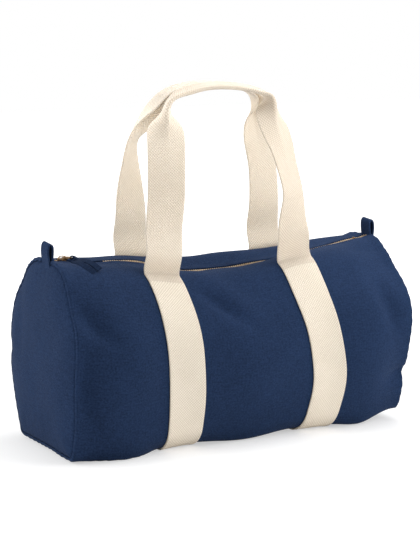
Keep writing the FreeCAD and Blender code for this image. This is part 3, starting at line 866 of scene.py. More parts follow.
def canvas_finish(nodes, colour, yarn, wear):
    """Plain-woven cotton: an over and under weave, slubs along both yarns, soft fading, a little fuzz, and painted
    shade on the left of the bag that turns to painted light on the right.
    """
    vector, u, v = cloth_axes(nodes)

    def along_yarns(fine, coarse, detail):
        """Noise drawn out along each of the two yarns."""
        fine, coarse = fine / yarn, coarse / yarn
        warp = nodes.stretched_noise(vector, (fine, coarse, 1), detail, 0.6)
        weft = nodes.stretched_noise(vector, (coarse, fine, 1), detail, 0.6)
        return warp * 0.5 + weft * 0.5

    weave = nodes.wave(u, yarn) * nodes.wave(v, yarn)
    slubs = along_yarns(1.0, 0.06, 3.0)
    bold = along_yarns(0.46, 0.10, 2.0)
    fading = nodes.noise(vector, 14.0, 4.0, 0.55)
    grain = nodes.noise(vector, 460.0, 2.0, 0.6)
    tone = slubs * 0.5 + bold * 0.8 + fading * wear * 0.6 + grain * 1.3 + weave * 0.06
    share = nodes.ramp(tone / (2.6 + wear * 0.6), [(0.415, 0.0), (0.585, 1.0)])
    # Painted shade on the left of the bag and painted light on its right, mixed into the cloth's colour
    painted_light_and_shade = over_bag(nodes, "X", CANVAS_PAINTED_LIGHT_AND_SHADE)
    cloth = nodes.mix(shade(colour, 0.52), shade(colour, 1.14), share * 0.76 + painted_light_and_shade * 0.42)
    height = weave * 0.5 + slubs * 0.9 + bold * 0.9 + grain * 0.5
    fine = nodes.bump(height, 0.40, yarn * 0.45)
    soft = nodes.bump(nodes.noise(vector, 55.0, 3.0, 0.55), 0.20, 0.004, fine)
    return {"Base Color": cloth, "Roughness": 0.80 + slubs * 0.18, "Normal": soft, "Specular IOR Level": 0.06,
            "Sheen Weight": 0.035, "Sheen Roughness": 0.35, "Sheen Tint": (0.75, 0.82, 1.0, 1)}


def webbing_finish(nodes, colour, through):
    """Heavy cotton webbing: slanting twill ribs cut by the yarns, corded edges, flecks, and painted light that
    makes parts of the left handle's legs and the low parts under the bag paler.
    """
    vector, u, v = cloth_axes(nodes)
    rib = 0.0025
    cord = 0.0016
    half_width = 0.025
    slant = math.radians(-48)
    wander = nodes.noise(vector, 160.0, 2.0, 0.5) * 0.0007
    ribs = nodes.wave(u * math.cos(slant) - v * math.sin(slant) + wander, rib) * 0.5 + 0.5
    yarns = nodes.wave(u * math.sin(slant) + v * math.cos(slant) - wander, rib)
    edge = nodes.ramp(abs(u) / half_width, [(0.915, 0.0), (0.945, 1.0)])
    cords = nodes.wave(v, cord) * 0.5 + 0.5
    height = (ribs * 0.72 + yarns * 0.22 + 0.04) * (1 - edge) + cords * edge * 0.5
    flecks = nodes.stretched_noise(vector, (900, 260, 1), 3.0, 0.6)
    cloudy = nodes.noise(vector, 22.0, 3.0, 0.5)
    share = nodes.ramp(height * 0.62 + flecks * 0.45 + cloudy * 0.25, [(0.25, 0.0), (0.95, 1.0)])
    low = tinted(colour, WEBBING_SHADE)
    light_gain = min(PAINTED_LIGHT_GAIN, BRIGHTEST / colour[0])
    # Painted light: the webbing turns paler on parts of the left handle's legs and low under the bag
    painted_light = over_bag(nodes, "Z", PAINTED_LIGHT_LEGS) * over_bag(nodes, "X", PAINTED_LIGHT_SIDE)
    painted_light = painted_light + over_bag(nodes, "Z", PAINTED_LIGHT_FOOT)
    plain_cloth = nodes.mix(shade(low, 1.0), shade(colour, 1.0), share)
    cloth = nodes.mix(plain_cloth, nodes.mix(shade(low, light_gain), shade(colour, light_gain), share), painted_light)
    normal = nodes.bump(height + flecks * 0.25, 0.50, 0.0006)
    return {"Base Color": cloth, "Roughness": 0.86 + flecks * 0.1, "Normal": normal,
            "Specular IOR Level": 0.2, "Sheen Weight": 0.06, "Sheen Roughness": 0.5,
            "Subsurface Weight": through, "Subsurface Radius": (0.011, 0.010, 0.009), "Subsurface Scale": 1.0}


def tape_finish(nodes, colour):
    """Woven zip tape: a fine herringbone of narrow stripes."""
    vector, u, v = cloth_axes(nodes)
    herringbone = 0.0036
    stripe = 0.0011
    zigzag = abs((v * (1 / herringbone)).math("FRACT") - 0.5)
    ribs = nodes.wave(u + zigzag * 0.0030, stripe) * 0.5 + 0.5
    grain = nodes.noise(vector, 1400.0, 2.0, 0.6)
    cloth = nodes.mix(shade(colour, 0.75), shade(colour, 1.25), ribs * 0.6 + grain * 0.4)
    normal = nodes.bump(ribs + grain * 0.4, 0.4, 0.0003)
    rough = 0.78 + grain * 0.15
    return {"Base Color": cloth, "Roughness": rough, "Normal": normal, "Specular IOR Level": 0.2}


def brass_finish(nodes, colour):
    """Aged brass: rubbed bright in places, browner and duller in others, with fine scratches."""
    place = nodes.coordinates("Object")
    patina = nodes.noise(place, 420.0, 4.0, 0.6)
    scratch = nodes.stretched_noise(place, (600, 5200, 2600), 2.0, 0.7)
    rubbed = nodes.ramp(patina, [(0.36, 0.0), (0.62, 1.0)])
    metal = nodes.mix(shade(tinted(colour, BRASS_SHADE), 1.0), shade(colour, 1.0), rubbed)
    normal = nodes.bump(scratch, 0.12, 0.0002)
    rough = 0.46 - rubbed * 0.16 + scratch * 0.08
    return {"Base Color": metal, "Roughness": rough, "Normal": normal, "Metallic": 1.0}


def thread_finish(nodes, colour):
    """Twisted sewing thread: the ply shows as slanting bands."""
    place = nodes.coordinates("Object")
    slant = (0.8, 0.35, 0.48)
    ply_pitch = 0.0006
    lay = nodes.add("ShaderNodeVectorMath", {"operation": "DOT_PRODUCT"}, {0: place, 1: slant}, "Value")
    ply = nodes.wave(lay, ply_pitch) * 0.5 + 0.5
    grain = nodes.noise(place, 1500.0, 2.0, 0.6)
    cloth = nodes.mix(shade(colour, 0.78), shade(colour, 1.08), ply * 0.5 + grain * 0.5)
    normal = nodes.bump(ply, 0.4, 0.0002)
    return {"Base Color": cloth, "Roughness": 0.62 + grain * 0.2, "Normal": normal, "Specular IOR Level": 0.3}


def finish(look):
    """The material of one of the record's slots, or a shade of one, made when it is first needed."""
    made = bpy.data.materials.get(f"bag_{look}")
    if made:
        return made
    colours = bpy.context.scene.bag_colours
    # Each look: what gives its shader's sockets, its colour and what else that takes
    makers = {
        "navy_canvas": (canvas_finish, colours.canvas, 0.0011, 0.5),
        "seam_binding": (canvas_finish, colours.binding, 0.0008, 0.3),
        "pull_cloth": (canvas_finish, colours.canvas, 0.0009, 0.3),
        "natural_webbing": (webbing_finish, colours.webbing, 0.32),
        "rear_webbing_painted_light": (webbing_finish, colours.webbing, 0.5),
        "sewn_webbing_painted_light": (webbing_finish, colours.webbing, 0.04),
        "natural_thread": (thread_finish, colours.thread),
        "navy_thread": (thread_finish, colours.binding),
        "zip_tape": (tape_finish, colours.tape),
        "zip_brass": (brass_finish, colours.brass),
        "slider_brass_painted_shade": (brass_finish, colours.brass),
    }
    material = bpy.data.materials.new(f"bag_{look}")
    material.use_nodes = True
    nodes = Nodes(material.node_tree)
    make, colour, *rest = makers[look]
    sockets = make(nodes, tinted(colour, TINTS.get(look, (1, 1, 1))), *rest)
    nodes.fill(material.node_tree.nodes["Principled BSDF"], sockets)
    return material


def loft(built, rings):
    """Adds a closed skin over rings of points."""
    loops = [[built.verts.new(point) for point in ring] for ring in rings]
    for low, high in zip(loops[:-1], loops[1:]):
        for k in range(len(low)):
            built.faces.new((low[k], low[k - 1], high[k - 1], high[k]))
    built.faces.new(loops[0])
    built.faces.new(loops[-1])


def copies_tree():
    """Geometry nodes that set copies of a small object along paths, facing the way that the paths say."""
    made = bpy.data.node_groups.get("copies_along_path")
    if made:
        return made
    tree = bpy.data.node_groups.new("copies_along_path", "GeometryNodeTree")
    kinds = {"Path": "Geometry", "Copy": "Object", "Pitch": "Float", "Wobble": "Float", "Finish": "Material"}
    for name, kind in kinds.items():
        tree.interface.new_socket(name, in_out="INPUT", socket_type=f"NodeSocket{kind}")
    tree.interface.new_socket("Row", in_out="OUTPUT", socket_type="NodeSocketGeometry")
    nodes = Nodes(tree)
    given = tree.nodes.new("NodeGroupInput")
    inputs = {socket.name: Value(nodes, socket) for socket in given.outputs if socket.name}
    curve = nodes.add("GeometryNodeMeshToCurve", {}, {"Mesh": inputs["Path"]})
    spaced = nodes.add("GeometryNodeResampleCurve", {"mode": "LENGTH"},
                       {"Curve": curve, "Length": inputs["Pitch"]})
    facing = nodes.add("GeometryNodeInputNamedAttribute", {"data_type": "FLOAT_VECTOR"}, {"Name": "facing"})
    tangent = nodes.add("GeometryNodeInputTangent")
    upright = nodes.add("FunctionNodeAlignRotationToVector", {"axis": "Z"}, {"Vector": facing})
    aligned = nodes.add("FunctionNodeAlignRotationToVector", {"axis": "X", "pivot_axis": "Z"},
                        {"Rotation": upright, "Vector": tangent})
    turn = nodes.add("FunctionNodeRandomValue", {"data_type": "FLOAT"},
                     {"Min_001": inputs["Wobble"] * -1, "Max_001": inputs["Wobble"], "Seed": WOBBLE_SEED},
                     "Value_001")
    spin = nodes.add("FunctionNodeAxisAngleToRotation", {}, {"Axis": (0, 0, 1), "Angle": turn})
    turned = nodes.add("FunctionNodeRotateRotation", {"rotation_space": "LOCAL"},
                       {"Rotation": aligned, "Rotate By": spin})
    shape = nodes.add("GeometryNodeObjectInfo", {}, {"Object": inputs["Copy"]}, "Geometry")
    row = nodes.add("GeometryNodeInstanceOnPoints", {},
                    {"Points": spaced, "Instance": shape, "Rotation": turned})
    solid = nodes.add("GeometryNodeRealizeInstances", {}, {"Geometry": row})
    done = nodes.add("GeometryNodeSetMaterial", {}, {"Geometry": solid, "Material": inputs["Finish"]})
    result = tree.nodes.new("NodeGroupOutput")
    tree.links.new(done.socket, result.inputs[0])
    return tree


def copies_along(name, paths, rings, pitch, look, wobble_degrees=0.0):
    """One mesh of copies along paths, each a list of points and the directions that the copies face there.

    The shape that is copied is a skin over rings of points.
    """
    built = bmesh.new()
    loft(built, rings)
    copy = link_object(f"{name}_copy", fill_mesh(bpy.data.meshes.new(f"{name}_copy"), built))
    points = np.concatenate([p for p, _ in paths])
    facing = np.concatenate([f for _, f in paths])
    edges, first = [], 0
    for path, _ in paths:
        edges += [(first + i, first + i + 1) for i in range(len(path) - 1)]
        first += len(path)
    mesh = bpy.data.meshes.new(f"{name}_path")
    mesh.from_pydata([tuple(p) for p in points], edges, [])
    attribute = mesh.attributes.new("facing", "FLOAT_VECTOR", "POINT")
    attribute.data.foreach_set("vector", facing.astype(np.float32).ravel())
    path_object = link_object(f"{name}_path", mesh)
    modifier = path_object.modifiers.new("copies", "NODES")
    modifier.node_group = copies_tree()
    given = {"Copy": copy, "Pitch": pitch, "Wobble": math.radians(wobble_degrees), "Finish": finish(look)}
    for item in modifier.node_group.interface.items_tree:
        if item.in_out == "INPUT" and item.name in given:
            modifier[item.identifier] = given[item.name]
    evaluated = path_object.evaluated_get(bpy.context.evaluated_depsgraph_get())
    row = bpy.data.meshes.new_from_object(evaluated)
    row.name = name
    for used in (path_object, copy):
        bpy.data.objects.remove(used)
    if not row.polygons:
        raise RuntimeError(f"{name} has no copies")
    return link_object(name, smooth(row))


def stitch_rings(length, thickness):
    """One stitch: a short thread, thickest in the middle, whose ends dip into the cloth."""
    sides = 6
    turns = [2 * math.pi * k / sides for k in range(sides)]
    rings = []
    for share, size in ((-0.5, 0.45), (-0.36, 0.85), (0, 1), (0.36, 0.85), (0.5, 0.45)):
        sink = thickness * (0.15 - 0.9 * (2 * abs(share)) ** 3)
        radius = size * thickness / 2
        rings.append([(share * length, math.cos(t) * radius, math.sin(t) * radius + sink) for t in turns])
    return rings


def tooth_rings(side):
    """One zip tooth: a clamp on the tape, a narrow neck and a head with a bevelled top."""
    millimetre = 0.001
    outline = ((-1.6, 0.72), (-0.5, 0.72), (0.2, 0.46), (0.75, 0.66), (1.75, 0.60), (2.0, 0.36))
    rings = []
    for z, size in ((-1.0, 0.80), (-0.8, 1.0), (0.6, 1.0), (0.85, 0.80)):
        half = [(x * size, y) for y, x in outline]
        loop = half + [(-x, y) for x, y in reversed(half)]
        rings.append([(x * millimetre, -side * y * millimetre, z * millimetre) for x, y in loop])
    return rings


def sew(name, paths, stitch, wobble, nodes=(), body=None):
    """A piece of natural stitches along paths; stitch is the length and thickness of one."""
    pitch = bpy.context.scene.bag_sizes.stitch_pitch
    row = copies_along(name, paths, stitch_rings(*stitch), pitch, "natural_thread", wobble)
    declare(row, nodes, body)


class BAG_OT_canvas(bpy.types.Operator):
    """Make the sagging canvas round the barrel, in two pieces that meet under the bag"""

    bl_idname = "bag.canvas"
    bl_label = "Canvas barrel"

    # The hem beside the zip: its lift and where that fades, the stitches' sunk line and the rounded lip
    hem_lift = 0.0007
    hem_fade = (0.0048, 0.0066)
    stitch_sink = 0.0004
    stitch_half = 0.0007
    lip_sink = 0.0006
    lip = 0.0009
    nodes = {"front": ("main_panel", "front_mouth_flap"), "rear": ("rear_mouth_flap",)}

    def execute(self, context):
        shape = barrel()
        thickness = context.scene.bag_sizes.canvas_thickness
        from_end = graded(HALF_LENGTH, CLOTH_STEP)
        x = np.concatenate([-HALF_LENGTH + from_end, HALF_LENGTH - from_end[-2::-1]])
        width = shape.top - ZIP_HALF_SLOT
        from_zip = graded(width, CLOTH_STEP)
        hem = self.hem_lift * (1 - ease(*self.hem_fade, from_zip))
        hem = hem - self.stitch_sink * bell(from_zip, TOPSTITCH, self.stitch_half)
        hem = hem - self.lip_sink * (1 - ease(0, self.lip, from_zip))
        for where, side in SIDES.items():
            grid_x, grid_s = pair_grid(x, side * (width - from_zip))
            piece = sheets_piece(f"canvas_{where}", shape.sheet(grid_x, grid_s, hem, -thickness))
            settle(piece, "navy_canvas", self.nodes[where])
            fold_with_mouth(piece, where)
            shape.top - ZIP_HALF_SLOT
        return {"FINISHED"}


class BAG_OT_ends(bpy.types.Operator):
    """Make the two puffed end panels and the bound seam edges inside them"""

    bl_idname = "bag.ends"
    bl_label = "End panels"

    crease = 0.0036
    crease_half = 0.0009
    dome = 4.5
    middle_height = 0.49
    graded_rim = 0.085
    ring_step = 0.0042
    inmost = 0.02
    # Dents in an end panel: y, z, half sizes and depth
    dents = (
        (0.020, 0.055, 0.060, 0.012, 0.0012),
        (0.058, 0.150, 0.014, 0.040, 0.0016),
    )
    dent_fade = 0.012
    ripple = 0.0005
    ripple_turns = (70, 55)
    ripple_start = 1
    ripple_fade = 0.03
    # The binding: its inset from the seam, its depth under the canvas, its rows and half its thickness there
    binding_inset = 0.0030
    binding_sink = 0.0036
    binding_rows = (0, 0.0004, 0.0020, 0.0045, 0.0070, 0.0076, 0.0080)
    binding_half = (0.0006, 0.00108, 0.0012, 0.0012, 0.0012, 0.00108, 0.0006)

    def execute(self, context):
        shape = barrel()
        sizes = context.scene.bag_sizes
        s = steps(-shape.top, shape.top, CLOTH_STEP)[:-1]
        rim_gap = graded(self.graded_rim, self.ring_step)
        for which, end in ENDS.items():
            ring = shape.surface(end * HALF_LENGTH, s)
            middle = np.array([end * HALF_LENGTH, 0.0, BASE_Z + HEIGHT * self.middle_height])
            spread = ring - middle
            radius = np.linalg.norm(spread, axis=1).mean()
            share = np.append(1 - rim_gap / radius, self.inmost)
            grid = middle + share[:, None, None] * spread
            puff = self.puff(grid, share[:, None], radius, sizes.end_puff)
            outer, inner = grid.copy(), grid.copy()
            outer[..., 0] += end * puff
            inner[..., 0] += end * (puff - sizes.canvas_thickness)
            piece = sheets_piece(f"end_cloth_{which}", (outer, inner, grid[..., 1:], True))
            self.close_middle(piece, len(s), len(share))
            settle(piece, "navy_canvas", (f"{which}_end_panel",), "shell")
            self.make_binding(shape, which, end, s)
        return {"FINISHED"}

    def puff(self, grid, share, radius, height):
        """How far an end stands out: a dome with a sunk seam line, dents and ripples."""
        gap = (1 - share) * radius
        y, z = grid[..., 1], grid[..., 2]
        puff = height * (1 - share**self.dome) - self.crease * np.exp(-gap / self.crease_half)
        for at_y, at_z, half_y, half_z, depth in self.dents:
            puff = puff - depth * bell(y, at_y, half_y) * bell(z, at_z, half_z) * ease(0, self.dent_fade, gap)
        turns_y, turns_z = self.ripple_turns
        ripple = np.sin(y * turns_y + self.ripple_start) * np.sin(z * turns_z)
        return puff + self.ripple * ripple * ease(0, self.ripple_fade, gap)

    @staticmethod
    def close_middle(piece, around, rings):
        """Closes the small hole in the middle of both faces."""
        built = bmesh.new()
        built.from_mesh(piece.data)
        layer = built.loops.layers.uv["Cloth"]
        size, last = around * rings, around * (rings - 1)
        rim = [f for f in built.faces if all(v.index % size >= last for v in f.verts)]
        bmesh.ops.delete(built, geom=rim, context="FACES_ONLY")
        built.verts.ensure_lookup_table()
        inmost = [[built.verts[first + last + k] for k in range(around)] for first in (0, size)]
        for loop in inmost:
            centre = built.verts.new(sum((v.co for v in loop), Vector()) / around)
            for k in range(around):
                face = built.faces.new((loop[k - 1], loop[k], centre))
                face.smooth = True
                for corner in face.loops:
                    corner[layer].uv = corner.vert.co.yz
        fill_mesh(piece.data, built)

    def make_binding(self, shape, which, end, s):
        """The bound edge of the seam: a folded tape round the inside of the end."""
        x = end * (HALF_LENGTH - self.binding_inset) - end * np.array(self.binding_rows)
        half = np.array(self.binding_half)[:, None]
        sheet = shape.sheet(*pair_grid(x, s), half - self.binding_sink, -half - self.binding_sink, wrap=True)
        piece = sheets_piece(f"binding_{which}", sheet)
        settle(piece, "seam_binding", (f"{which}_seam_binding",), "shell")


class BAG_OT_body_straps(bpy.types.Operator):
    """Make the webbing that runs down the front, under the bag and up the rear, with its edge stitches"""

    bl_idname = "bag.body_straps"
    bl_label = "Body straps"

    stitch_inset = 0.0032
    wobble = 3

    def execute(self, context):
        shape = barrel()
        thickness = context.scene.bag_sizes.webbing_thickness
        half_run = shape.strap_fold - STRAP_FOOT
        s = steps(-half_run, half_run, CLOTH_STEP)
        q, thick = across(STRAP_HALF)
        grid_s, grid_q = pair_grid(s, q)
        half = thick * thickness / 2
        middle = LAY_GAP + thickness / 2
        for which in ENDS:
            x = shape.strap_x(which, grid_s) + grid_q
            sheet = shape.sheet(x, grid_s, middle + half, middle - half, np.stack([grid_q, grid_s], -1))
            piece = sheets_piece(f"webbing_body_{which}", sheet)
            # The body straps take a paler copy of the webbing: painted light
            settle(piece, "natural_webbing", (f"{which}_body_strap",), "shell", "sewn_webbing_painted_light")
            reach = STRAP_HALF - self.stitch_inset
            lines = [(shape.strap_x(which, s) + edge * reach, s) for edge in (-1, 1)]
            rows = shape.rows(lines, LAY_GAP + thickness)
            sew(f"edge_stitches_{which}", rows, EDGE_STITCH, self.wobble, body="shell")
        return {"FINISHED"}


class BAG_OT_handles(bpy.types.Operator):
    """Make the carry handles: webbing that leaves the bag at its stitching and is folded along the grip"""

    bl_idname = "bag.handles"
    bl_label = "Handles"

    spacing = 0.0025
    crease_half = 0.0026
    settle_height = 0.050
    bend_height = 0.016
    stitch_inset = 0.006
    sewn_half = 0.062
    wobble = 3
    # The rear handle takes a paler copy of the webbing: painted light
    looks = {"front": "natural_webbing", "rear": "rear_webbing_painted_light"}

    def execute(self, context):
        shape = barrel()
        thickness = context.scene.bag_sizes.webbing_thickness
        q, thick = across(STRAP_HALF, fine=True)
        for where, side in SIDES.items():
            grid, run = self.handle_grid(shape, where, side, q, thickness)
            foot_rows = self.lay_feet(shape, grid, run, side, q, thickness)
            uv = np.stack(pair_grid(run, q)[::-1], -1)
            piece = strip_piece(f"handle_{where}", grid, thickness, uv, thick)
            settle(piece, "natural_webbing", (f"{where}_handle",), None, self.looks[where])
            self.fold_with_handle(piece, where, grid[foot_rows][..., 2].mean())
            self.sew_grip(where, grid, q, thickness)
        return {"FINISHED"}

    @staticmethod
    def foot(shape, which, side, thickness):
        """Rows of the webbing's middle that still lie on the barrel, up to where it leaves it."""
        s = side * (shape.strap_fold - np.array([STRAP_FOOT, STRAP_FOOT / 2, 0.0]))
        places = shape.place(shape.strap_x(which, s), s, LAY_GAP + thickness / 2)
        return [(*place, 0, 0) for place in places]

    def handle_grid(self, shape, where, side, q, thickness):
        """The middle of the webbing as a grid along and across it, and how far along each row lies."""
        left_foot, right_foot = (self.foot(shape, which, side, thickness) for which in ENDS)
        path, run = spline([*left_foot, *HANDLES[where], *right_foot[::-1]], self.spacing)
        place, turn, fold = path[:, :3], np.radians(path[:, 3:4]), np.clip(path[:, 4:], 0, 1)
        ahead = unit(np.gradient(place, axis=0))
        out = unit(np.array([0.0, side, 0.0]) - ahead * (side * ahead[:, 1:2]))
        wide = np.cross(ahead, out)
        out, wide = out * np.cos(turn) + wide * np.sin(turn), wide * np.cos(turn) - out * np.sin(turn)
        angle = fold * math.pi / 2 * ease(0, self.crease_half, np.abs(q))
        middle = (angle[:, 1:] + angle[:, :-1]) / 2
        step = np.diff(q)
        centre = len(q) // 2
        start = np.zeros((len(path), 1))
        flat = np.concatenate([start, np.cumsum(np.cos(middle) * step, 1)], 1)
        deep = np.concatenate([start, np.cumsum(np.sin(middle) * step * np.sign(q[1:] + q[:-1]), 1)], 1)
        flat -= flat[:, centre:centre + 1]
        deep -= deep[:, centre:centre + 1]
        deep -= deep.max(1, keepdims=True) / 2
        return place[:, None] + flat[..., None] * wide[:, None] - deep[..., None] * out[:, None], run

    def lay_feet(self, shape, grid, run, side, q, thickness):
        """Lays both ends on the barrel, evens the webbing out above, and gives the rows where they end."""
        foot_rows = []
        for which, end in ENDS.items():
            part, length = (grid, run) if end < 0 else (grid[::-1], run[-1] - run[::-1])
            foot = int(np.searchsorted(length, STRAP_FOOT))
            direction = 1 if part[0, -1, 0] > part[0, 0, 0] else -1
            s = side * (shape.strap_fold - STRAP_FOOT + np.minimum(length[:foot + 1], STRAP_FOOT))
            grid_s, grid_q = pair_grid(s, q * direction)
            laid = shape.place(grid_q + shape.strap_x(which, grid_s), grid_s, LAY_GAP + thickness / 2)
            offset = laid[-1] - part[foot]
            even = 1 - ease(0, self.settle_height, length[foot:] - length[foot])
            part[foot:] += even[:, None, None] * offset
            part[:foot + 1] = laid
            foot_rows.append(foot if end < 0 else len(run) - 1 - foot)
        return foot_rows

    def fold_with_handle(self, piece, where, foot_z):
        """Bends the webbing where it leaves the bag."""
        start = Vector((0, joint_place(f"{where}_handle_fold").y, foot_z))
        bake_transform(piece, "shell", f"{where}_handle", start=start, end=start + Vector((0, 0, self.bend_height)))

    def sew_grip(self, where, grid, q, thickness):
        """A row of stitches that keeps the grip folded, near its open edge."""
        reach = STRAP_HALF - self.stitch_inset
        columns = [int(np.argmin(np.abs(q - edge * reach))) for edge in (-1, 1)]
        column = max(columns, key=lambda each: grid[len(grid) // 2, each, 2])
        rows = np.where(np.abs(grid[:, column, 0]) < self.sewn_half)[0]
        normals = grid_normals(grid)[rows, column]
        normals *= np.sign(normals[:, 2:3])
        path = grid[rows, column] + normals * thickness / 2
        sew(f"grip_stitches_{where}", [(path, normals)], EDGE_STITCH, self.wobble, body=f"{where}_handle")


class BAG_OT_bar_stitches(bpy.types.Operator):
    """Sew the rows of stitches that hold the webbing where the handles leave the bag"""

    bl_idname = "bag.bar_stitches"
    bl_label = "Bar stitches"

    rows_back = (0.0045, 0.0100)
    stitch = (0.0032, 0.0007)
    edge_gap = 0.0022
    path_step = 0.002
    lift = 0.0001
    wobble = 5

    def execute(self, context):
        shape = barrel()
        lift = LAY_GAP + context.scene.bag_sizes.webbing_thickness + self.lift
        reach = STRAP_HALF - self.edge_gap
        over = steps(-reach, reach, self.path_step)
        for where, side in SIDES.items():
            lines = []
            for which in ENDS:
                for back in self.rows_back:
                    s = side * (shape.strap_fold - back)
                    lines.append((shape.strap_x(which, s) + over, s))
            rows = shape.rows(lines, lift)
            sew(f"bar_stitches_{where}", rows, self.stitch, self.wobble, (f"{where}_bar_stitches",), "shell")
        return {"FINISHED"}


class BAG_OT_zip_tapes(bpy.types.Operator):
    """Make the zip's tapes under the canvas edges, and the topstitches that hold them"""

    bl_idname = "bag.zip_tapes"
    bl_label = "Zip tapes"

    inner_edge = 0.0016
    outer_edge = 0.0152
    width_step = 0.0012
    depth = 0.0015
    thickness = 0.0006
    stitch = (0.0026, 0.0005)
    stitch_pitch = 0.0038
    stitch_lift = 0.0004
    end_gap = 0.006
    path_step = 0.004
    wobble = 2

    def execute(self, context):
        shape = barrel()
        stitch = stitch_rings(*self.stitch)
        x = steps(-HALF_LENGTH + self.end_gap, HALF_LENGTH - self.end_gap, self.path_step)
        for where, side in SIDES.items():
            piece = self.tape(shape, f"tape_{where}", MOUTH_LEFT, MOUTH_RIGHT, (side,))
            settle(piece, "zip_tape", (f"{where}_zip_tape",))
            fold_with_mouth(piece, where)
            rows = shape.rows([(x, side * (shape.top - ZIP_HALF_SLOT - TOPSTITCH))], self.stitch_lift)
            row = copies_along(f"topstitch_{where}", rows, stitch, self.stitch_pitch, "navy_thread",
                               self.wobble)
            fold_with_mouth(row, where)
        for name, (low, high) in ZIP_ENDS.items():
            piece = self.tape(shape, f"tape_{name}", low, high, SIDES.values())
            settle(piece, "zip_tape", (f"zip_{name}_tapes",), "shell")
        return {"FINISHED"}

    def tape(self, shape, name, low, high, sides):
        """The tapes of a stretch of the zip, on one side or both."""
        x = steps(low, high, CLOTH_STEP)
        s = shape.top - steps(self.inner_edge, self.outer_edge, self.width_step)
        under = -self.depth - self.thickness
        grids = [pair_grid(x, side * s) for side in sides]
        return sheets_piece(name, *(shape.sheet(*grid, -self.depth, under) for grid in grids))


class BAG_OT_zip_teeth(bpy.types.Operator):
    """Set the zip's brass teeth along the tapes, and its stops"""

    bl_idname = "bag.zip_teeth"
    bl_label = "Zip teeth"

    row_inset = 0.0014
    depth = 0.0011
    head_depth = 0.0020
    path_step = 0.002
    stop_weld = 1e-6
    stop_flat = 0.02
    stop_bevel = 0.0003

    def execute(self, context):
        shape = barrel()
        pitch = context.scene.bag_sizes.tooth_pitch
        for where, side in SIDES.items():
            row = self.row(shape, f"teeth_{where}", MOUTH_LEFT, MOUTH_RIGHT, side, pitch, self.depth)
            declare(row, (f"{where}_zip_teeth",))
            fold_with_mouth(row, where)
        for name, (low, high) in ZIP_ENDS.items():
            sunk = self.head_depth if name == "head" else self.depth
            for where, side in SIDES.items():
                row = self.row(shape, f"teeth_{name}_{where}", low, high, side, pitch, sunk)
                declare(row, (f"zip_{name}_teeth",) if where == "front" else (), "shell")
        for name in ("zip_top_stops", "zip_bottom_stop"):
            self.stop(name)
        return {"FINISHED"}

    def row(self, shape, name, low, high, side, pitch, depth):
        """One row of teeth, set off by half a step from the row across the zip."""
        shift = pitch / 4 * side
        x = steps(low + pitch / 2 + shift, high - pitch / 2 + shift, self.path_step)
        rows = shape.rows([(x, side * (shape.top - self.row_inset))], -depth)
        return copies_along(name, rows, tooth_rings(side), pitch, "zip_brass")

    def stop(self, node):
        """A rounded metal stop in the place of its CAD node's solids."""
        mesh = frame["nodes"][node].data.copy()
        built = bmesh.new()
        built.from_mesh(mesh)
        bmesh.ops.remove_doubles(built, verts=built.verts, dist=self.stop_weld)
        bmesh.ops.dissolve_limit(built, angle_limit=self.stop_flat, verts=built.verts, edges=built.edges)
        bmesh.ops.bevel(built, geom=built.edges[:], offset=self.stop_bevel, segments=2, affect="EDGES")
        fill_mesh(mesh, built)
        mesh.materials.clear()
        mesh.shade_smooth()
        piece = link_object(f"{node}_metal", mesh)
        settle(piece, "zip_brass", (node,), "shell", "slider_brass_painted_shade")


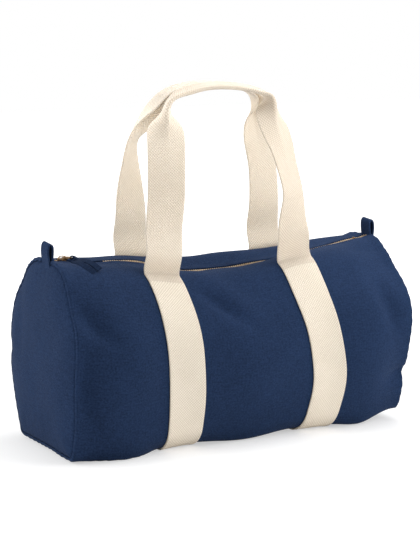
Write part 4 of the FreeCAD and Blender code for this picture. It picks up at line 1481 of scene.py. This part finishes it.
class BAG_OT_slider(bpy.types.Operator):
    """Make the zip's slider with its arch, the ring and the folded canvas pull"""

    bl_idname = "bag.slider"
    bl_label = "Slider and pull"

    # The slider: each row of a plate's outline is a share of its length and of its half width
    outline = ((0, 0.50), (0.12, 0.80), (0.34, 1.0), (0.58, 0.92), (0.80, 0.74), (1.0, 0.66))
    plate = 0.0010
    plate_bevel = 0.0004
    crown = 0.0004
    flange = 0.0009
    low_flange_top = 0.0021
    high_flange_drop = 0.0015
    wedge = ((0.0004, 0.0012), (0.0042, 0.0002), (0.0042, -0.0002), (0.0004, -0.0012))
    bevel_angle = 0.9
    sharp_degrees = 35
    # The arch: shares of its half width and its thickness there
    arch_rows = ((-1, 0.35), (-0.9, 0.8), (-0.6, 1), (0, 1), (0.6, 1), (0.9, 0.8), (1, 0.35))
    arch_points = 25
    arch_powers = (0.7, 0.6)
    arch_inset = 0.0005
    arch_sink = 0.0002
    arch_drop = 0.0003
    wire = 0.0012
    wire_sides = 12
    ring_points = 48
    # The pull: its turn round the ring in turn radii, and rows of its tails: x, how far in front of the zip
    # and how high over the cloth
    turn_gap = 0.0002
    turn = ((2.0, 1.0), (-0.8, 0.6), (-1.0, 0.0), (-0.8, -0.6), (2.0, -1.0))
    upper_tail = (
        (-0.1840, 0.0510, 0.0034),
        (-0.1872, 0.0415, 0.0038),
        (-0.1900, 0.0315, 0.0042),
        (-0.1925, 0.0215, 0.0046),
        (-0.1948, 0.0125, 0.0052),
    )
    lower_tail = (
        (-0.2000, 0.0130, 0.0024),
        (-0.2010, 0.0245, 0.0018),
        (-0.2000, 0.0360, 0.0016),
        (-0.1968, 0.0465, 0.0015),
        (-0.1920, 0.0550, 0.0014),
    )
    tail_spacing = 0.0008
    tail_half = 0.0036
    tail_neck = 0.8
    tail_lean = math.radians(30)
    tail_laid = (0.004, 0.018)
    tail_rearmost = -0.001

    def execute(self, context):
        self.make_slider()
        self.make_arch()
        self.make_ring()
        self.make_pull(context.scene.bag_sizes.canvas_thickness)
        return {"FINISHED"}

    def make_slider(self):
        """Two plates that flare towards the open end, with side flanges and a wedge between the rows."""
        low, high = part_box("zip_slider")
        length, half = high.x - low.x, (high.y - low.y) / 2
        side = [(low.x + length * along, half * wide) for along, wide in self.outline]
        loop = side + [(x, -y) for x, y in reversed(side)]
        floor, roof = low.z + self.plate, high.z + self.crown - self.plate
        blocks = [(loop, low.z, floor), (loop, roof, roof + self.plate)]
        for sign in (-1, 1):
            edge = [(x, sign * y) for x, y in side[2:]]
            edge += [(x, sign * (y - self.flange)) for x, y in reversed(side[2:])]
            blocks.append((edge, floor, low.z + self.low_flange_top))
            blocks.append((edge, high.z - self.high_flange_drop, roof))
        blocks.append(([(low.x + x, y) for x, y in self.wedge], floor, roof))
        built = bmesh.new()
        for block, bottom, top in blocks:
            loft(built, [[(x, y, z) for x, y in block] for z in (bottom, top)])
        bmesh.ops.recalc_face_normals(built, faces=built.faces)
        sharp = [e for e in built.edges if e.calc_face_angle(0) > self.bevel_angle]
        bmesh.ops.bevel(built, geom=sharp, offset=self.plate_bevel, segments=2, affect="EDGES")
        mesh = smooth(fill_mesh(bpy.data.meshes.new("slider_body"), built), self.sharp_degrees)
        settle(link_object("slider_body", mesh), "zip_brass", ("zip_slider",), "slider", "slider_brass_painted_shade")

    def make_arch(self):
        """The low arch on the slider's back, through which the ring passes."""
        low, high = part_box("slider_bridge")
        half, rise, length = (high.y - low.y) / 2, high.z - low.z, high.x - low.x
        turns = np.linspace(math.pi, 0, self.arch_points)
        power_x, power_z = self.arch_powers
        along = np.sign(np.cos(turns)) * np.abs(np.cos(turns)) ** power_x
        x = (low.x + high.x) / 2 + (length / 2 - self.arch_inset) * along
        z = low.z - self.arch_sink + (rise - self.arch_drop) * np.abs(np.sin(turns)) ** power_z
        widths, thick = np.array(self.arch_rows).T
        grid = np.stack(np.broadcast_arrays(x[:, None], widths[None, :] * half, z[:, None]), -1)
        piece = strip_piece("slider_arch", grid, self.plate, grid[..., :2], thick)
        settle(piece, "zip_brass", ("slider_bridge",), "slider", "slider_brass_painted_shade")

    def make_ring(self):
        """The round wire ring between the arch and the pull."""
        near, far = joint_place("ring_swing"), joint_place("pull_swing")
        middle, half = (near + far) / 2, (far - near).length / 2
        ahead = (far - near).normalized()
        sideways = Vector((0, 0, 1)).cross(ahead)
        sides = self.wire_sides
        turns = np.linspace(0, 2 * math.pi, self.ring_points, endpoint=False)
        bends = np.linspace(0, 2 * math.pi, sides, endpoint=False)
        points, faces = [], []
        for i, turn in enumerate(turns):
            out = ahead * math.cos(turn) + sideways * math.sin(turn)
            points += [middle + out * (half + self.wire / 2 * math.cos(bend))
                       + Vector((0, 0, self.wire / 2 * math.sin(bend))) for bend in bends]
            ring, after = i * sides, (i + 1) % len(turns) * sides
            for k in range(sides):
                beside = (k + 1) % sides
                faces.append((ring + k, ring + beside, after + beside, after + k))
        piece = new_piece("pull_ring_wire", points, faces, np.array(points)[:, :2])
        settle(piece, "zip_brass", ("zip_pull_ring",), "pull_ring", "slider_brass_painted_shade")

    def make_pull(self, thickness):
        """A canvas strip folded through the ring: its two tails lie side by side in front of the zip."""
        shape = barrel()
        pivot = np.array(joint_place("pull_swing"))
        ahead = unit(pivot - np.array(joint_place("ring_swing")))
        sideways = np.cross([0, 0, 1], ahead)
        radius = self.wire / 2 + thickness / 2 + self.turn_gap
        bend = [pivot + along * radius * ahead + np.array([0, 0, high * radius]) for along, high in self.turn]
        upper, lower = (self.lay_tail(shape, tail) for tail in (self.upper_tail, self.lower_tail))
        path, run = spline([*upper, *bend, *lower], self.tail_spacing)
        direction = unit(np.gradient(path, axis=0))
        laid = ease(*self.tail_laid, np.linalg.norm(path - pivot, axis=1))[:, None]
        up = shape.outward(path[:, 0], -shape.top - np.minimum(path[:, 1], self.tail_rearmost))
        level = np.cross(up, direction)
        level *= np.sign(level @ sideways)[:, None]
        wide = level * math.cos(self.tail_lean) + up * math.sin(self.tail_lean)
        wide = sideways * (1 - laid) + wide * laid
        wide = unit(wide - direction * np.sum(direction * wide, axis=1, keepdims=True))
        q, thick = across(self.tail_half)
        width = self.tail_neck + (1 - self.tail_neck) * laid
        grid = path[:, None] + q[None, :, None] * wide[:, None] * width[..., None]
        uv = np.stack(pair_grid(run, q), -1)
        piece = strip_piece("pull_cloth", grid, thickness, uv, thick)
        # The pull takes a darker copy of the canvas: painted shade
        settle(piece, "navy_canvas", ("zip_pull_strip",), "pull_strip", "pull_cloth")

    @staticmethod
    def lay_tail(shape, tail):
        """Points of a tail over the cloth."""
        x, front, high = np.array(tail).T
        return list(shape.place(x, front - shape.top, high))


class BAG_OT_tabs(bpy.types.Operator):
    """Make the folded canvas loops in the end seams"""

    bl_idname = "bag.tabs"
    bl_label = "End tabs"

    thickness = 0.0022
    sink = 0.006
    top_gap = 0.0012
    spacing = 0.0010
    lean = 0.001
    base_width = 0.90
    taper = 0.08
    skew = 0.09
    bend_height = 0.008
    # Each row: how far out from the seam and the share of the tab's height
    outline = (
        (0.0012, 0.00), (0.0017, 0.25), (0.0031, 0.52), (0.0034, 0.76), (0.0025, 0.93), (0.0006, 1.00),
        (-0.0016, 0.95), (-0.0028, 0.80), (-0.0027, 0.55), (-0.0018, 0.26), (-0.0012, 0.00),
    )

    def execute(self, context):
        for which, end in ENDS.items():
            low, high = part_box(f"{which}_tab")
            middle_y = (high.y + low.y) / 2
            base_x = (high.x + low.x) / 2
            base = low.z - self.sink
            rise = high.z - self.thickness / 2 - self.top_gap - base
            rows = [(base_x + end * (out - self.lean * share), 0.0, base + rise * share)
                    for out, share in self.outline]
            path, run = spline(rows, self.spacing)
            q, thick = across((high.y - low.y) / 2)
            grid = path[:, None] + q[None, :, None] * np.array([0.0, 1.0, 0.0])
            share = (grid[..., 2] - base) / rise
            wide = grid[..., 1] * (self.base_width - self.taper * share)
            grid[..., 1] = middle_y + wide
            grid[..., 2] += share * wide * self.skew
            uv = np.stack(pair_grid(run, q), -1)
            piece = strip_piece(f"tab_cloth_{which}", grid, self.thickness, uv, thick)
            settle(piece, "navy_canvas", (f"{which}_tab",))
            hinge = joint_place(f"{which}_tab_bend")
            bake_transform(piece, "shell", f"{which}_tab", start=hinge,
                     end=hinge + Vector((0, 0, self.bend_height)))
        return {"FINISHED"}


class BAG_OT_stage(bpy.types.Operator):
    """Set the pale floor, the studio lamps and the camera"""

    bl_idname = "bag.stage"
    bl_label = "Stage"

    # The camera: the height of the picture and the focal length in pixels, the sensor, where it stands and
    # what it looks at
    image_height = 540
    focal_pixels = 1750.0
    sensor = 36.0
    azimuth = math.radians(-29.0)
    elevation = math.radians(8.75)
    distance = 2.200
    aim_height = 0.204
    aim_right = -0.0052
    floor_half = 6
    floor_paint = (0.56, 0.56, 0.56, 1)
    floor_bounce = (0.92, 0.92, 0.92, 1)
    # How the floor's glow grows with the distance from the bag
    floor_glow = {"From Min": 0.35, "From Max": 0.95, "To Min": 0.50, "To Max": 1.0}
    white = (1, 1, 1, 1)
    # The sky's light on the bag, at the sides and how much more of it comes from behind
    sky_light = 0.45
    sky_behind = 0.17
    # Each lamp: name, place, side, watts
    lamps = (
        ("right_lamp", (1.25, -1.05, 0.90), 1.40, 22.5),
        ("top_lamp", (0.30, 0.05, 1.70), 1.20, 20.0),
        ("left_lamp", (-1.50, 0.55, 0.75), 0.90, 15.0),
    )
    lamp_aim = (0, 0, 0.13)

    def execute(self, context):
        self.make_floor()
        self.make_world(context.scene)
        self.make_lamps()
        self.make_camera(context.scene)
        context.scene.view_settings.view_transform = "Standard"
        return {"FINISHED"}

    @staticmethod
    def seen(nodes):
        """1 for what the camera, a reflection or glass sees, 0 for the light that falls on the bag."""
        rays = ("Camera", "Glossy", "Transmission")
        path = [nodes.add("ShaderNodeLightPath", {}, {}, f"Is {ray} Ray") for ray in rays]
        return path[0].math("MAXIMUM", path[1]).math("MAXIMUM", path[2])

    def make_floor(self):
        """A wide pale floor that takes the bag's shadow and turns white away from it."""
        mesh = bpy.data.meshes.new("floor")
        half = self.floor_half
        corners = [(-half, -half, 0), (half, -half, 0), (half, half, 0), (-half, half, 0)]
        mesh.from_pydata(corners, [], [(0, 1, 2, 3)])
        floor = link_object("floor", mesh)
        material = bpy.data.materials.new("pale_floor")
        material.use_nodes = True
        tree = material.node_tree
        tree.nodes.clear()
        nodes = Nodes(tree)
        place = nodes.coordinates("Object")
        away = nodes.add("ShaderNodeVectorMath", {"operation": "LENGTH"}, {0: place}, "Value")
        far = nodes.add("ShaderNodeMapRange", {"interpolation_type": "SMOOTHSTEP"},
                        {"Value": away, **self.floor_glow})
        paint = nodes.add("ShaderNodeBsdfDiffuse", {}, {"Color": self.floor_paint})
        glow = nodes.add("ShaderNodeEmission", {}, {"Color": self.white, "Strength": far})
        shown = nodes.add("ShaderNodeAddShader", {}, {0: paint, 1: glow})
        bounce = nodes.add("ShaderNodeBsdfDiffuse", {}, {"Color": self.floor_bounce})
        either = nodes.add("ShaderNodeMixShader", {}, {"Fac": self.seen(nodes), 1: bounce, 2: shown})
        output = tree.nodes.new("ShaderNodeOutputMaterial")
        tree.links.new(either.socket, output.inputs["Surface"])
        mesh.materials.append(material)

    def make_world(self, scene):
        """White all round, with a soft plain light on the bag."""
        world = bpy.data.worlds.new("studio")
        world.use_nodes = True
        scene.world = world
        nodes = Nodes(world.node_tree)
        background = world.node_tree.nodes["Background"]
        background.inputs["Color"].default_value = self.white
        light = nodes.part(nodes.coordinates("Generated"), "Y") * self.sky_behind + self.sky_light
        strength = self.seen(nodes) * (1 - light) + light
        world.node_tree.links.new(strength.socket, background.inputs["Strength"])

    def make_lamps(self):
        """Wide soft lamps that face the bag."""
        for name, place, side, watts in self.lamps:
            lamp = bpy.data.lights.new(name, "AREA")
            lamp.size = side
            lamp.energy = watts
            holder = link_object(name, lamp)
            holder.location = place
            aim = Vector(self.lamp_aim) - Vector(place)
            holder.rotation_euler = aim.to_track_quat("-Z", "Y").to_euler()

    def make_camera(self, scene):
        """A long lens at the height and angle from which the bag is seen."""
        sine, cosine, flat = math.sin(self.azimuth), math.cos(self.azimuth), math.cos(self.elevation)
        right = Vector((cosine, sine, 0))
        back = Vector((sine * flat, -cosine * flat, math.sin(self.elevation)))
        data = bpy.data.cameras.new("camera")
        data.sensor_width = self.sensor
        data.lens = self.focal_pixels * self.sensor / self.image_height
        camera = link_object("camera", data)
        camera.location = Vector((0, 0, self.aim_height)) + right * self.aim_right + back * self.distance
        camera.rotation_euler = back.to_track_quat("Z", "Y").to_euler()
        scene.camera = camera


OPERATORS = (
    BAG_OT_canvas,
    BAG_OT_ends,
    BAG_OT_body_straps,
    BAG_OT_handles,
    BAG_OT_bar_stitches,
    BAG_OT_zip_tapes,
    BAG_OT_zip_teeth,
    BAG_OT_slider,
    BAG_OT_tabs,
    BAG_OT_stage,
)


class BAG_PT_panel(bpy.types.Panel):
    """The bag's sizes, colours and makers"""

    bl_idname = "BAG_PT_panel"
    bl_label = "Barrel bag"
    bl_space_type = "VIEW_3D"
    bl_region_type = "UI"
    bl_category = "Barrel bag"

    def draw(self, context):
        for group in (context.scene.bag_sizes, context.scene.bag_colours):
            for name in group.bl_rna.properties.keys():
                if name not in ("rna_type", "name"):
                    self.layout.prop(group, name)
        for operator in OPERATORS:
            self.layout.operator(operator.bl_idname)


CLASSES = (BagSizes, BagColours, *OPERATORS, BAG_PT_panel)


def register():
    for each in CLASSES:
        bpy.utils.register_class(each)
    bpy.types.Scene.bag_sizes = bpy.props.PointerProperty(type=BagSizes)
    bpy.types.Scene.bag_colours = bpy.props.PointerProperty(type=BagColours)


def unregister():
    del bpy.types.Scene.bag_colours
    del bpy.types.Scene.bag_sizes
    for each in reversed(CLASSES):
        bpy.utils.unregister_class(each)


def main():
    """Makes the whole bag and its stage."""
    register()
    for operator in OPERATORS:
        group, name = operator.bl_idname.split(".")
        getattr(getattr(bpy.ops, group), name)()


if __name__ == "__main__":
    main()
